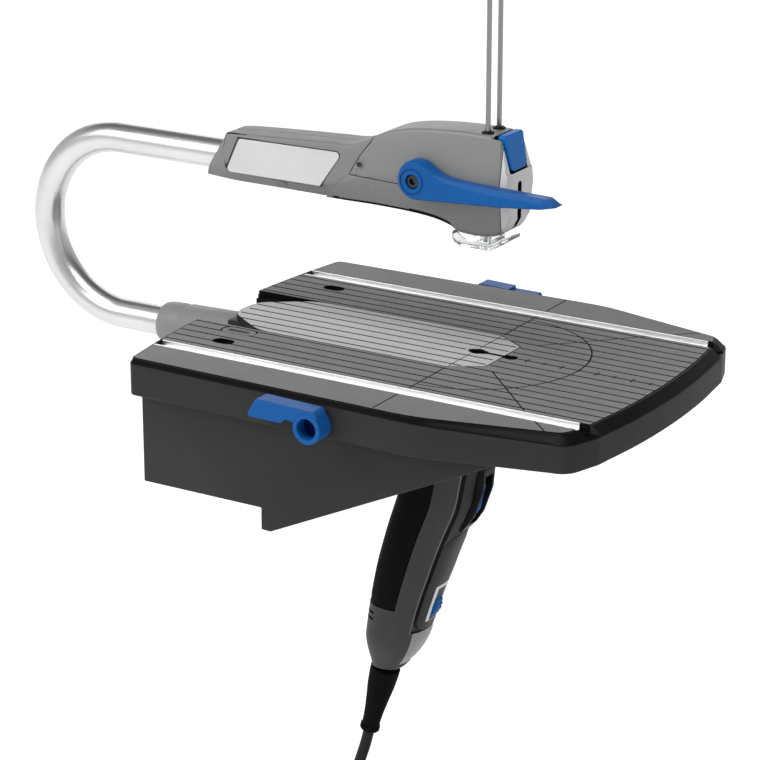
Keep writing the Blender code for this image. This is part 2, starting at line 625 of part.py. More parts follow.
# Sections (x, lower z, upper z, lower half width, widest z, half width, upper half width)
ARM = [(-153.5, 70.6, 92.5, 8.0, 77.0, 11.4, 8.6), (-140.5, 70.2, 94.4, 9.2, 77.0, 12.6, 9.6),
       (-132.0, 70.1, 95.2, 9.8, 77.0, 13.0, 10.2), (-110.0, 70.1, 96.4, 10.0, 77.0, 13.2, 10.6),
       (-80.0, 70.0, 97.8, 10.4, 78.0, 13.3, 10.8), (-66.0, 70.1, 98.6, 10.8, 81.0, 13.5, 10.8),
       (-55.0, 70.3, 102.6, 11.2, 85.0, 14.0, 10.4), (-43.0, 70.2, 107.8, 11.5, 87.0, 14.3, 10.0),
       (-31.0, 69.8, 110.4, 11.6, 88.0, 14.5, 9.8), (-18.0, 68.6, 111.8, 11.6, 88.0, 14.5, 9.8),
       (-9.0, 66.4, 112.3, 11.6, 88.0, 14.5, 9.8), (-3.0, 63.6, 112.5, 11.6, 88.0, 14.5, 9.8),
       (10.0, 63.4, 112.4, 11.5, 88.0, 14.4, 9.7), (19.0, 65.6, 111.8, 11.0, 88.0, 14.0, 9.4),
       (23.5, 72.0, 110.4, 10.0, 88.0, 13.2, 8.6)]
ARM_WALL = 2.2
END_LEAN = 0.55                 # the sleeve's open end leans back towards its lower edge
SPLIT_Z = 84.4
CAP_X = 20.0


def arm_ring(x, low, high, w_low, z_mid, w_mid, w_high, inset=0.0, lean=0.0):
    corners = [(-w_low + inset, low + inset, 3.0), (w_low - inset, low + inset, 3.0),
               (w_mid - inset, z_mid, 8.0), (w_high - inset, high - inset, 3.0),
               (-w_high + inset, high - inset, 3.0), (-w_mid + inset, z_mid, 8.0)]
    return [(x + lean * (z - low), y, z) for y, z in round_corners(corners, 2)]


def arm_solid(name, grow, spec=SLATE):
    rings = [arm_ring(*section, inset=-grow, lean=END_LEAN if i == 0 else 0.0)
             for i, section in enumerate(ARM)]
    return loft(name, rings, spec, smooth=35)


def arm_hollow():
    sections = [(-119.0,) + ARM[3][1:]] + [s for s in ARM if s[0] > -119.0]
    sections[-1] = (CAP_X + 1.2,) + sections[-1][1:]
    rings = [arm_ring(*section, inset=ARM_WALL) for section in sections]
    tool = loft("cut_arm_hollow", rings, BLACK)
    tool.hide_render = True
    tool.display_type = "WIRE"
    return tool


def cover_outline(grow):
    """Side view of the head cover's region, over the split line; grow opens it for the arm shells."""
    return [(-64.5 - grow, SPLIT_Z - grow), (-58.9 - grow, 94.4), (-53.0 - grow, 102.0),
            (-50.0 - grow, 130.0), (40.0, 130.0), (40.0, SPLIT_Z - 1.4 - grow), (-30.0, SPLIT_Z - 1.0 - grow)]


def head_and_arm():
    hollow = arm_hollow()
    bore = cutter("arm_bore", "x", (0.0, ARM_Z), TUBE_R + GAP, -170, -117, maker=rod)
    cover_zone = cutter("cover_zone", cover_outline(0.0), "y", -40, 40, maker=prism)
    cover_room = cutter("cover_room", cover_outline(GAP), "y", -40, 40, maker=prism)
    cap_room = cutter("cap_room", (CAP_X - GAP, -40, 40), (60, 40, 140))
    cap_zone = cutter("cap_zone", (CAP_X, -40, 40), (60, 40, 140))
    mouth = cutter("mouth", (-6.5, -8.6, 50), (15.0, 8.6, 76))
    shaft_hole = cutter("lever_hole", "y", (LEVER_X, LEVER_Z), 4.2, -30, -5, maker=rod)
    pocket = cutter("button_pocket", (14.8, -9.2 - GAP, 94.0 - GAP), (40, 9.2 + GAP, 140))
    for side, sign in SIDES:
        shell = arm_solid("arm_shell_" + side, 0.0)
        away = sorted((sign * GAP / 2, -sign * 60.0))
        half = cutter("half_" + side, (-200, away[0], 40), (60, away[1], 140))
        for tool in (half, hollow, bore, cover_room, cap_room, mouth, shaft_hole):
            boolean(shell, tool)
    cover = arm_solid("head_cover", 0.0)
    boolean(cover, hollow)
    boolean(cover, cover_zone, "INTERSECT")
    rod_holes = [cutter("rod_hole_" + side, "z", (ROD_X, sign * ROD_Y), ROD_R + 0.4, 90, 130, maker=rod)
                 for side, sign in SIDES]
    for tool in [cap_room, shaft_hole, pocket] + rod_holes:
        boolean(cover, tool)
    cap = arm_solid("front_cap", 0.0, SILVER)
    boolean(cap, hollow)
    boolean(cap, cap_zone, "INTERSECT")
    boolean(cap, pocket)
    boolean(cap, cutter("blade_access", (CAP_X - 2, -2.0, 40), (40, 2.0, 86)))


def label_panel():
    outline = round_corners([(-131.6, 92.8, 2.0), (-138.4, 75.4, 2.0), (-82.2, 75.4, 2.0), (-69.4, 94.6, 2.0)])
    return prism("label_panel", outline, "y", -14.8, -13.8, ALUMINIUM, smooth=None)


def release_button():
    return box("release_button", (16.6, -9.2, 94.0), (25.0, 9.2, 113.6), BLUE, bevel=1.6)


def tension_lever():
    pivot = (LEVER_X, 0.0, LEVER_Z)
    hub = [(-22.0 + 9.8 * math.cos(t), 89.0 + 9.8 * math.sin(t))
           for t in span(math.radians(55), math.radians(268), 12)]
    arm = [(2.7, 80.7), (24.3, 81.9), (45.6, 84.0), (54.5, 86.2), (49.7, 89.4), (24.0, 90.2), (2.5, 91.0),
           (-8.0, 92.6)]
    lever = prism("tension_lever", hub + arm, "y", -23.0, -15.2, BLUE, pivot=pivot)
    boolean(lever, cutter("lever_shaft", "y", (LEVER_X, LEVER_Z), 3.8, -18.0, 8.0, maker=rod), "UNION")
    cam = cutter("lever_cam", "y", (LEVER_X + 1.6, LEVER_Z), 6.2, -3.5, 3.5, maker=rod)
    boolean(lever, cam, "UNION")
    boolean(lever, cutter("screw_pocket", "y", (LEVER_X, LEVER_Z), 3.7, -30.0, -19.0, maker=rod))
    screw("lever_screw", "y", (LEVER_X, LEVER_Z), -19.3, -1.0, 3.3, 3.0, BLACK, length=0.1)


def upper_drive():
    plunger = loft("upper_plunger", stack("z", [(74.3, 0, 0, 3.0, 16), (95.5, 0, 0, 3.0, 16),
                                                (95.51, 0, 0, 5.0, 16), (97.0, 0, 0, 5.0, 16)]), STEEL, smooth=30)
    clamp = box("upper_clamp", (-4.0, -4.0, 64.6), (4.0, 4.0, 74.0), STEEL, bevel=0.5)
    boolean(clamp, cutter("upper_slot", (-6, -0.35, 50), (6, 0.35, 71)))
    screw("upper_clamp_screw", "x", (2.4, 68.0), 4.3, 1.0, 1.5, 0.9, BLACK, length=0.1)
    guide = box("plunger_guide", (-7.5, -10.5, 80.0), (6.2, 10.5, 90.0), BRASS)
    boolean(guide, cutter("plunger_bore", "z", (0.0, 0.0), 3.1, 60, 120, maker=rod))
    turns, count = 5, 12
    path = [Vector((3.6 * math.cos(t), 3.6 * math.sin(t), 97.9 + 10.6 * i / (turns * count)))
            for i, t in enumerate(math.tau * k / count for k in range(turns * count + 1))]
    wire("tension_spring", path, 0.5, STEEL, count=6)
    return plunger


def hold_down():
    top = 184.0
    path = [Vector((ROD_X, -ROD_Y, 59.1)), Vector((ROD_X, -ROD_Y, 120.0)), Vector((ROD_X, -ROD_Y, top))]
    path += [Vector((ROD_X, -ROD_Y * math.cos(t), top + ROD_Y * math.sin(t)))
             for t in span(0.0, math.pi, 8)[1:-1]]
    path += [Vector((ROD_X, ROD_Y, top)), Vector((ROD_X, ROD_Y, 120.0)), Vector((ROD_X, ROD_Y, 59.1))]
    wire("hold_down_rod", path, ROD_R, STEEL, count=10)
    fork = [(-10.0, -12.0, 4.0), (16.0, -12.5, 4.0), (17.5, 0.0, 0), (16.0, 12.5, 4.0), (-10.0, 12.0, 4.0),
            (-10.0, 4.5, 1.5), (4.0, 4.5, 3.5), (4.0, -4.5, 3.5), (-10.0, -4.5, 1.5)]
    foot = prism("clear_foot", round_corners(fork), "z", 56.5, 58.5, CLEAR, smooth=None)
    boolean(foot, cutter("foot_riser", (5.6, -8.0, 57.5), (11.8, 8.0, 65.0)), "UNION")
    for side, sign in SIDES:
        boolean(foot, cutter("foot_bore_" + side, "z", (ROD_X, sign * ROD_Y), ROD_R + 0.2, 58.8, 90, maker=rod))


def case_screws():
    """Small screw that holds the head cover on the arm."""
    screw("arm_screw_1", "y", (-58.2, 90.4), -14.6, -1.0, 1.3, 0.4, BLACK, length=0.05)


# ---- cord --------------------------------------------------------------------------------------

def smooth_route(points, steps):
    """Points along a smooth curve through the given ones."""
    ends = [points[0] * 2 - points[1]] + list(points) + [points[-1] * 2 - points[-2]]
    route = []
    for p0, p1, p2, p3 in zip(ends, ends[1:], ends[2:], ends[3:]):
        for i in range(steps):
            t = i / steps
            route.append(0.5 * ((2 * p1) + (p2 - p0) * t + (2 * p0 - 5 * p1 + 4 * p2 - p3) * t * t
                                + (3 * p1 - p0 - 3 * p2 + p3) * t ** 3))
    return route + [points[-1]]


def cord_tube(name, route):
    curve = bpy.data.curves.new(name, "CURVE")
    curve.dimensions = "3D"
    spline = curve.splines.new("POLY")
    spline.points.add(len(route) - 1)
    for point, spot in zip(spline.points, route):
        point.co = (*(spot * MM), 1.0)
    curve.bevel_depth = CORD_R * MM
    curve.bevel_resolution = 2
    curve.use_fill_caps = True
    curve.materials.append(material(RUBBER))
    obj = bpy.data.objects.new(name, curve)
    obj.parent = SAW_ORIGIN
    bpy.context.collection.objects.link(obj)
    return obj


COIL_SECTION = COIL_TURNS_ACROSS * 2 * CORD_R
COIL_X = -71.5 + COIL_R + 2 * CORD_R
COIL_Z = -306.0


def cord(end, down):
    start = end + down * GAP
    hang = COIL_X - COIL_R - 2 * CORD_R
    lead = [start, start + down * 12.0, Vector((hang + 1.6, -1.5, -252.0)), Vector((hang, -4.5, -268.0)),
            Vector((hang, -2 * CORD_R, COIL_Z + 24.0))]
    cord_tube("cord", smooth_route(lead, 4))
    half = COIL_SECTION / 2
    ring = [(-half, COIL_R - half), (-half, COIL_R + half), (half, COIL_R + half), (half, COIL_R - half)]
    turned("cord_coil", "y", (COIL_X, COIL_Z), ring, RUBBER, count=32)
    tail_y = half + CORD_R + GAP
    tail = [Vector((hang, tail_y, COIL_Z - drop)) for drop in (0.0, 20.0, 40.0, 58.0)]
    cord_tube("cord_tail", smooth_route(tail, 3))
    return tail[-1] - Vector((0, 0, GAP))


def cord_tie():
    """Strap round the coil's turns at its top."""
    low, high = COIL_R - COIL_SECTION / 2, COIL_R + COIL_SECTION / 2
    gap, wall, half = 0.4, 1.2, COIL_SECTION / 2
    reach = 7.0
    inner = [(-half - gap, low - gap - 1.2), (half + gap, low - gap - 1.2),
             (half + gap, high + gap), (-half - gap, high + gap)]
    outer = [(-half - gap - wall, low - gap - 1.2 - wall), (half + gap + wall, low - gap - 1.2 - wall),
             (half + gap + wall, high + gap + wall), (-half - gap - wall, high + gap + wall)]
    strap = prism("cord_tie", [(y, COIL_Z + z) for y, z in outer], "x", COIL_X - reach, COIL_X + reach, BLACK,
                  smooth=None)
    boolean(strap, cutter("tie_gap", [(y, COIL_Z + z) for y, z in inner], "x", COIL_X - 50, COIL_X + 50,
                          maker=prism))


def plug(top):
    """Flat mains plug that hangs from the cord's end, with two pins."""
    x, y, z = top
    profile = [(0.0, 4.6, 4.6), (14.0, 5.6, 5.2), (18.0, 11.5, 6.6), (34.0, 13.0, 7.2), (37.0, 12.2, 6.6)]
    rings = [[(x + a * w, y + b * t, z - d) for a, b in circle((0, 0), 1.0, 20)] for d, w, t in profile]
    body = loft("plug_body", rings, RUBBER)
    for i, offset in enumerate((-6.35, 6.35)):
        box("plug_pin_%d" % (i + 1), (x + offset - 0.75, y - 3.1, z - 37.0 - GAP - 17.0),
            (x + offset + 0.75, y + 3.1, z - 37.0 - GAP), BRASS, bevel=0.3)
    return body


def main():
    rim_frame()
    deck_plate()
    latch_tab()
    rails()
    cheeks()
    bench_seat()
    lock_levers()
    shoe_plate()
    frame_tube()
    tube_collar()
    frame_casting()
    housing_shells()
    handle_skins()
    dial_and_slider()
    motor_parts()
    drive_gear()
    lower_drive()
    head_and_arm()
    label_panel()
    release_button()
    tension_lever()
    upper_drive()
    hold_down()
    case_screws()
    end, down = strain_relief()
    plug(cord(end, down))
    cord_tie()


main()
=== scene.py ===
"""Looks of the bench scroll saw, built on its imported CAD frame. Lengths are millimetres in the saw
frame (blade at X = Y = 0, table top at Z = 0); put() turns them into metres in the row frame."""
import math
import bmesh
import bpy
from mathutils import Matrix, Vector


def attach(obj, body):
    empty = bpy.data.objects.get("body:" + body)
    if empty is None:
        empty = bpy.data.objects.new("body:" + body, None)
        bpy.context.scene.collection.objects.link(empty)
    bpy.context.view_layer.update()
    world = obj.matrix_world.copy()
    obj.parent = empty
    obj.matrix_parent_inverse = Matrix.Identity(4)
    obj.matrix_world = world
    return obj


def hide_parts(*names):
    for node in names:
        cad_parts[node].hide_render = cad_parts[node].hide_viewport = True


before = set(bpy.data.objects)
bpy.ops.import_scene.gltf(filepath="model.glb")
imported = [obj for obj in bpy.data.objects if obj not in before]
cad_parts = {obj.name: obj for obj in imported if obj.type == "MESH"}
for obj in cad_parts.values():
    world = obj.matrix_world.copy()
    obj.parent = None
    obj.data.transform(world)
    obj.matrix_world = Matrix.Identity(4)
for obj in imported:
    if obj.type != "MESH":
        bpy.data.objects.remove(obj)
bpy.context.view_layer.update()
MM = 0.001
GAP = 0.3  # gap between neighbouring pieces
SIDES = (("near", -1.0), ("far", 1.0))  # name, and sign of y


def put(x, y, z):
    return Vector(((x + 103.5) * MM, y * MM, (z + 67.0) * MM))


# ---- materials ----

NOISE_LOW, NOISE_HIGH = 0.3, 0.7  # most of a noise texture's values lie between these


class Nodes:
    """A small wrapper that keeps material node code short."""

    def __init__(self, name):
        self.mat = bpy.data.materials.new(name)
        self.mat.use_nodes = True
        self.tree = self.mat.node_tree
        self.shader = self.tree.nodes["Principled BSDF"]
        coords = self.tree.nodes.new("ShaderNodeTexCoord")
        self.object = coords.outputs["Object"]

    def new(self, kind, **values):
        node = self.tree.nodes.new("ShaderNode" + kind)
        for key, value in values.items():
            if hasattr(node, key):
                setattr(node, key, value)
            else:
                node.inputs[key.replace("_", " ")].default_value = value
        return node

    def link(self, a, b):
        self.tree.links.new(a, b)

    def noise(self, scale, detail=2.0, stretch=None):
        node = self.new("TexNoise", Scale=scale, Detail=detail)
        source = self.object
        if stretch:
            mapping = self.new("Mapping", Scale=stretch)
            self.link(source, mapping.inputs["Vector"])
            source = mapping.outputs["Vector"]
        self.link(source, node.inputs["Vector"])
        return node.outputs["Fac"]

    def ramp(self, fac, low, high, start=NOISE_LOW, end=NOISE_HIGH):
        node = self.new("MapRange", From_Min=start, From_Max=end, To_Min=low, To_Max=high)
        self.link(fac, node.inputs["Value"])
        return node.outputs["Result"]

    def tint(self, fac, one, two):
        node = self.new("ValToRGB")
        for stop, position, colour in zip(node.color_ramp.elements, (NOISE_LOW, NOISE_HIGH), (one, two)):
            stop.position = position
            stop.color = (*colour, 1.0)
        self.link(fac, node.inputs["Fac"])
        return node.outputs["Color"]

    def bump(self, fac, strength, distance):
        node = self.new("Bump", Strength=strength, Distance=distance)
        self.link(fac, node.inputs["Height"])
        return node.outputs["Normal"]

    def set(self, **values):
        for key, value in values.items():
            socket = self.shader.inputs[key.replace("_", " ")]
            if isinstance(value, bpy.types.NodeSocket):
                self.link(value, socket)
            else:
                socket.default_value = value
        return self.mat


def shade(colour, factor):
    return tuple(min(1.0, c * factor) for c in colour)


def worn(n, colour, lift):
    """Colour that varies softly over the surface and is a little paler along worn edges."""
    soft = n.tint(n.noise(38.0, 4.0), shade(colour, 0.97), shade(colour, 1.03))
    point = n.new("NewGeometry").outputs["Pointiness"]
    worn_colour = (*(min(1.0, c * 0.7 + lift) for c in colour), 1.0)
    edge = n.new("MixRGB", blend_type="MIX", Color2=worn_colour)
    n.link(n.ramp(point, 0.0, 0.55, 0.53, 0.62), edge.inputs["Fac"])
    n.link(soft, edge.inputs["Color1"])
    return edge.outputs["Color"]


def moulded(name, colour, rough, grain=1.0, lift=0.06, gloss=0.3):
    """Spark-eroded moulded plastic: fine pebble bump, slight roughness change, paler edges."""
    n = Nodes(name)
    pebble = n.noise(2600.0)
    smear = n.noise(90.0, 3.0)
    return n.set(Base_Color=worn(n, colour, lift), Roughness=n.ramp(smear, rough - 0.02, rough + 0.03),
                 Normal=n.bump(pebble, 0.25 * grain, 0.00006), Specular_IOR_Level=gloss)


def gripping(name):
    """Soft overmould with a fine cross-hatched pebble."""
    n = Nodes(name)
    cells = n.new("TexVoronoi", Scale=1500.0)
    n.link(n.object, cells.inputs["Vector"])
    hatch = n.bump(cells.outputs["Distance"], 0.5, 0.0001)
    return n.set(Base_Color=worn(n, (0.0045, 0.0046, 0.005), 0.004), Normal=hatch, Specular_IOR_Level=0.02,
                 Roughness=n.ramp(n.noise(60.0, 3.0), 0.55, 0.72))


def metal(name, colour, rough, stretch, brush):
    """Metal with fine lines along the axis that stretch makes small."""
    n = Nodes(name)
    lines = n.noise(900.0, 3.0, stretch)
    tone = n.tint(n.noise(25.0, 3.0), shade(colour, 0.95), shade(colour, 1.04))
    return n.set(Base_Color=tone, Metallic=1.0, Roughness=n.ramp(lines, rough - 0.02, rough + 0.03),
                 Normal=n.bump(lines, brush, 0.00002))


def clear_acrylic(name):
    n = Nodes(name)
    haze = n.noise(120.0, 3.0)
    return n.set(Base_Color=(0.93, 0.95, 0.96, 1.0), Roughness=n.ramp(haze, 0.02, 0.1),
                 Transmission_Weight=0.93, IOR=1.45, Normal=n.bump(haze, 0.03, 0.0002))


M = {
    # the grooves' walls are painted darker, as shade in the recess
    "groove": moulded("groove_painted_shade", (0.014, 0.014, 0.0145), 0.7, lift=0.0, gloss=0.1),
    "slate": moulded("head_grey", (0.172, 0.173, 0.172), 0.42, gloss=0.45),
    "sleeve": moulded("sleeve_grey", (0.175, 0.176, 0.178), 0.46, gloss=0.3),
    "band": moulded("handle_grey", (0.038, 0.038, 0.04), 0.5, lift=0.04, gloss=0.12),
    "black": moulded("rim_black", (0.025, 0.025, 0.0255), 0.5, lift=0.02, gloss=0.08),
    # paler grey for the strip of the housing beside the handle's panel: a painted highlight
    "edge": moulded("handle_painted_highlight", (0.1, 0.1, 0.102), 0.5, lift=0.04, gloss=0.2),
    "charcoal": moulded("base_charcoal", (0.026, 0.026, 0.0265), 0.6, lift=0.02, gloss=0.12),
    "dark": moulded("panel_dark", (0.026, 0.026, 0.027), 0.45, lift=0.03, gloss=0.1),
    "jet": moulded("jet_black", (0.004, 0.004, 0.0045), 0.4, grain=0.5, lift=0.01, gloss=0.08),
    "deck": moulded("deck_paint", (0.115, 0.114, 0.116), 0.46, grain=1.4, lift=0.08, gloss=0.22),
    "shoe": moulded("shoe_grey", (0.36, 0.36, 0.365), 0.42, grain=1.4, lift=0.1, gloss=0.3),
    "silver": moulded("silver_plastic", (0.5, 0.5, 0.5), 0.38, grain=0.7, lift=0.1, gloss=0.35),
    "butt": moulded("butt_grey", (0.2, 0.2, 0.202), 0.42, grain=0.7, lift=0.08),
    "collar": moulded("collar_grey", (0.2, 0.2, 0.205), 0.42, grain=0.7, lift=0.08),
    "ink": moulded("marking_dark", (0.012, 0.012, 0.012), 0.6, lift=0.0, gloss=0.05),
    "blue": moulded("switch_blue", (0.005, 0.08, 0.28), 0.36, grain=0.6, lift=0.02, gloss=0.1),
    # lighter copy of the switch blue for the release button: painted light
    "painted_light_blue": moulded("button_painted_light_blue", (0.004, 0.11, 0.38), 0.36, grain=0.6, lift=0.02, gloss=0.1),
    # darker copy of the lever blue for the cup inside the hub: painted shade
    "painted_shade_blue": moulded("hub_painted_shade_blue", (0.001, 0.006, 0.08), 0.45, grain=0.6, lift=0.0, gloss=0.1),
    "rubber": gripping("grip_rubber"),
    "cord": moulded("cord_black", (0.012, 0.012, 0.0125), 0.5, lift=0.0, gloss=0.12),
    "tube": metal("tube_aluminium", (0.6, 0.6, 0.605), 0.3, (0.06, 1.0, 1.0), 0.02),
    "rail": metal("rail_aluminium", (0.85, 0.85, 0.86), 0.36, (0.02, 1.0, 1.0), 0.15),
    "label": metal("label_foil", (0.62, 0.62, 0.63), 0.42, (0.05, 1.0, 1.0), 0.1),
    "steel": metal("bright_steel", (0.56, 0.56, 0.58), 0.24, (1.0, 1.0, 0.05), 0.1),
    "rod": metal("rod_steel", (0.24, 0.24, 0.245), 0.28, (1.0, 1.0, 0.05), 0.1),
    "screw": metal("black_oxide", (0.05, 0.05, 0.055), 0.35, (1.0, 1.0, 1.0), 0.1),
    "brass": metal("brass", (0.72, 0.52, 0.22), 0.28, (1.0, 1.0, 0.05), 0.1),
    "clear": clear_acrylic("clear_acrylic"),
}


# ---- building blocks ----

def to_mesh(bm, name):
    mesh = bpy.data.meshes.new(name)
    bm.to_mesh(mesh)
    bm.free()
    return mesh


def placed(bm, name):
    """Mesh from a bmesh in saw millimetres, with its faces turned outwards."""
    bmesh.ops.recalc_face_normals(bm, faces=bm.faces)
    for vert in bm.verts:
        vert.co = put(*vert.co)
    return to_mesh(bm, name)


def add_object(name, data):
    obj = bpy.data.objects.new(name, data)
    bpy.context.collection.objects.link(obj)
    return obj


def make(name, build, look, body, *nodes, **finish):
    """A new piece from build(bm) in saw millimetres, riding on body and standing for the CAD nodes."""
    bm = bmesh.new()
    build(bm)
    return finish_piece(name, placed(bm, name), look, body, *nodes, **finish)


def finish_piece(name, mesh, look, body, *nodes, smooth=35.0, bevel=0.0, segments=2):
    obj = add_object(name, mesh)
    mesh.materials.append(M[look])
    mesh.shade_smooth()
    mesh.set_sharp_from_angle(angle=math.radians(smooth))
    if bevel:
        round_edges(obj, bevel, segments)
    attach(obj, body)
    if nodes:
        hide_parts(*nodes)
    return obj


def round_edges(obj, width, segments=2, angle=40.0):
    mod = obj.modifiers.new("edges", "BEVEL")
    mod.width = width * MM
    mod.segments = segments
    mod.limit_method = "ANGLE"
    mod.angle_limit = math.radians(angle)
    mod.harden_normals = True
    mod.use_clamp_overlap = True
    return mod


def refine(node, look, body, bevel=0.0, segments=2):
    """Copy of a CAD node's own mesh with flat faces merged and its edges rounded."""
    bm = bmesh.new()
    bm.from_mesh(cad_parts[node].data)
    bmesh.ops.remove_doubles(bm, verts=bm.verts, dist=1e-6)
    bmesh.ops.dissolve_limit(bm, angle_limit=math.radians(1.0), verts=bm.verts, edges=bm.edges)
    name = node + "_skin"
    return finish_piece(name, to_mesh(bm, name), look, body, node, bevel=bevel, segments=segments)


def skin(bm, rings, closed=False):
    """Faces between rings of points; an open loft gets a cap at each end."""
    made = [[bm.verts.new(p) for p in ring] for ring in rings]
    for one, two in list(zip(made, made[1:])) + ([(made[-1], made[0])] if closed else []):
        for i in range(len(one)):
            j = (i + 1) % len(one)
            bm.faces.new((one[i], one[j], two[j], two[i]))
    if not closed:
        bm.faces.new(made[0][::-1])
        bm.faces.new(made[-1])


PLACE = {"x": lambda a, b, t: (t, a, b), "y": lambda a, b, t: (a, t, b), "z": lambda a, b, t: (a, b, t)}


def slab(bm, outline, axis, low, high):
    skin(bm, [[PLACE[axis](a, b, t) for a, b in outline] for t in (low, high)])


def cuboid(bm, low, high):
    slab(bm, [(low[0], low[1]), (high[0], low[1]), (high[0], high[1]), (low[0], high[1])], "z", low[2], high[2])


def turns(count):
    return [math.tau * i / count for i in range(count)]


def revolve(bm, axis, centre, profile, count=48, closed=True):
    """Turn (position, radius) points; closed profiles make a ring, open ones a solid with caps."""
    grid = [[PLACE[axis](centre[0] + r * math.cos(a), centre[1] + r * math.sin(a), t) for t, r in profile]
            for a in turns(count)]
    skin(bm, grid if closed else list(zip(*grid)), closed)


def span(start, end, steps):
    return [start + (end - start) * i / steps for i in range(steps + 1)]


def rounded(corners, steps=5):
    """Outline from (a, b, radius) corners."""
    outline = []
    count = len(corners)
    for i, (a, b, radius) in enumerate(corners):
        here = Vector((a, b))
        if not radius:
            outline.append((a, b))
            continue
        before = (Vector(corners[i - 1][:2]) - here).normalized()
        after = (Vector(corners[(i + 1) % count][:2]) - here).normalized()
        half = before.angle(after) / 2
        centre = here + (before + after).normalized() * (radius / math.sin(half))
        start = here + before * (radius / math.tan(half)) - centre
        end = here + after * (radius / math.tan(half)) - centre
        turn = start.angle_signed(end)
        for k in range(steps + 1):
            t = -turn * k / steps
            outline.append((centre.x + start.x * math.cos(t) - start.y * math.sin(t),
                            centre.y + start.x * math.sin(t) + start.y * math.cos(t)))
    return outline


def smooth_line(points, steps):
    """Catmull-Rom curve through tuples of any length."""
    vectors = [Vector(p) for p in points]
    ends = [vectors[0] * 2 - vectors[1]] + vectors + [vectors[-1] * 2 - vectors[-2]]
    line = []
    for p0, p1, p2, p3 in zip(ends, ends[1:], ends[2:], ends[3:]):
        for i in range(steps):
            t = i / steps
            line.append(0.5 * ((2 * p1) + (p2 - p0) * t + (2 * p0 - 5 * p1 + 4 * p2 - p3) * t * t
                               + (3 * p1 - p0 - 3 * p2 + p3) * t ** 3))
    return line + [vectors[-1]]


def frames(path):
    """Points of a path, each with two directions square to it that don't twist."""
    side = Vector((0, 1, 0))
    found = []
    for i, point in enumerate(path):
        ahead = (path[min(i + 1, len(path) - 1)] - path[max(i - 1, 0)]).normalized()
        first = (side - ahead * side.dot(ahead)).normalized()
        found.append((point, first, ahead.cross(first)))
        side = first
    return found


def evaluated(obj):
    """New mesh of the object as its modifiers shape it."""
    graph = bpy.context.evaluated_depsgraph_get()
    return bpy.data.meshes.new_from_object(obj.evaluated_get(graph), depsgraph=graph)


def cut(obj, build, operation="DIFFERENCE"):
    """Boolean with a tool built in saw millimetres, applied at once so that no tool stays."""
    bm = bmesh.new()
    build(bm)
    mesh = placed(bm, "cut")
    tool = add_object("cut", mesh)
    mod = obj.modifiers.new("cut", "BOOLEAN")
    mod.operation = operation
    mod.solver = "EXACT"
    mod.object = tool
    result = evaluated(obj)
    obj.modifiers.remove(mod)
    old, obj.data = obj.data, result
    bpy.data.objects.remove(tool, do_unlink=True)
    bpy.data.meshes.remove(mesh)
    bpy.data.meshes.remove(old)


def box_cut(obj, low, high, operation="DIFFERENCE"):
    cut(obj, lambda bm: cuboid(bm, low, high), operation)


def drill(obj, axis, centre, radius, low, high, count=32, operation="DIFFERENCE"):
    """Cuts or adds a cylinder along an axis."""
    cut(obj, lambda bm: revolve(bm, axis, centre, [(low, radius), (high, radius)], count, closed=False), operation)


def resmooth(obj, angle=35.0):
    """Shading after cuts; flat faces keep their own normal."""
    mesh = obj.data
    stale = mesh.attributes.get("custom_normal")
    if stale:
        mesh.attributes.remove(stale)
        mod = obj.modifiers.new("normals", "WEIGHTED_NORMAL")
        mod.mode = "FACE_AREA"
        mod.weight = 100
        mod.keep_sharp = True
    mesh.shade_smooth()
    mesh.set_sharp_from_angle(angle=math.radians(angle))


def soften(obj, width, segments=2, angle=50.0, smooth=35.0):
    """Shading and rounded edges after the last cut."""
    resmooth(obj, smooth)
    round_edges(obj, width, segments, angle).use_clamp_overlap = False


def applied_bevel(obj, width, segments=2, angle=40.0):
    """Bevel made permanent, so that later cuts stay sharp."""
    round_edges(obj, width, segments, angle)
    mesh = evaluated(obj)
    obj.modifiers.clear()
    obj.data = mesh


def paint(obj, look, test):
    """Gives the faces that pass test(centre, normal) another finish; centres are in saw millimetres."""
    mesh = obj.data
    mesh.materials.append(M[look])
    origin = put(0, 0, 0)
    for face in mesh.polygons:
        if test((face.center - origin) / MM, face.normal):
            face.material_index = len(mesh.materials) - 1


# ---- stage, light and camera ----

AZIMUTH, ELEVATION = math.radians(31.23), math.radians(19.2)


def camera():
    data = bpy.data.cameras.new("camera")
    data.lens = 132.63
    data.sensor_width = 36.0
    data.clip_start, data.clip_end = 0.05, 60.0
    obj = add_object("camera", data)
    obj.location = (0.7436, -1.14648, 0.50869)
    obj.rotation_euler = (math.pi / 2 - ELEVATION, 0.0, AZIMUTH)
    bpy.context.scene.camera = obj


def area(name, place, target, size, power):
    data = bpy.data.lights.new(name, "AREA")
    data.shape = "RECTANGLE"
    data.size, data.size_y = size
    data.energy = power
    obj = add_object(name, data)
    obj.location = place
    aim = Vector(target) - Vector(place)
    obj.rotation_euler = aim.to_track_quat("-Z", "Y").to_euler()


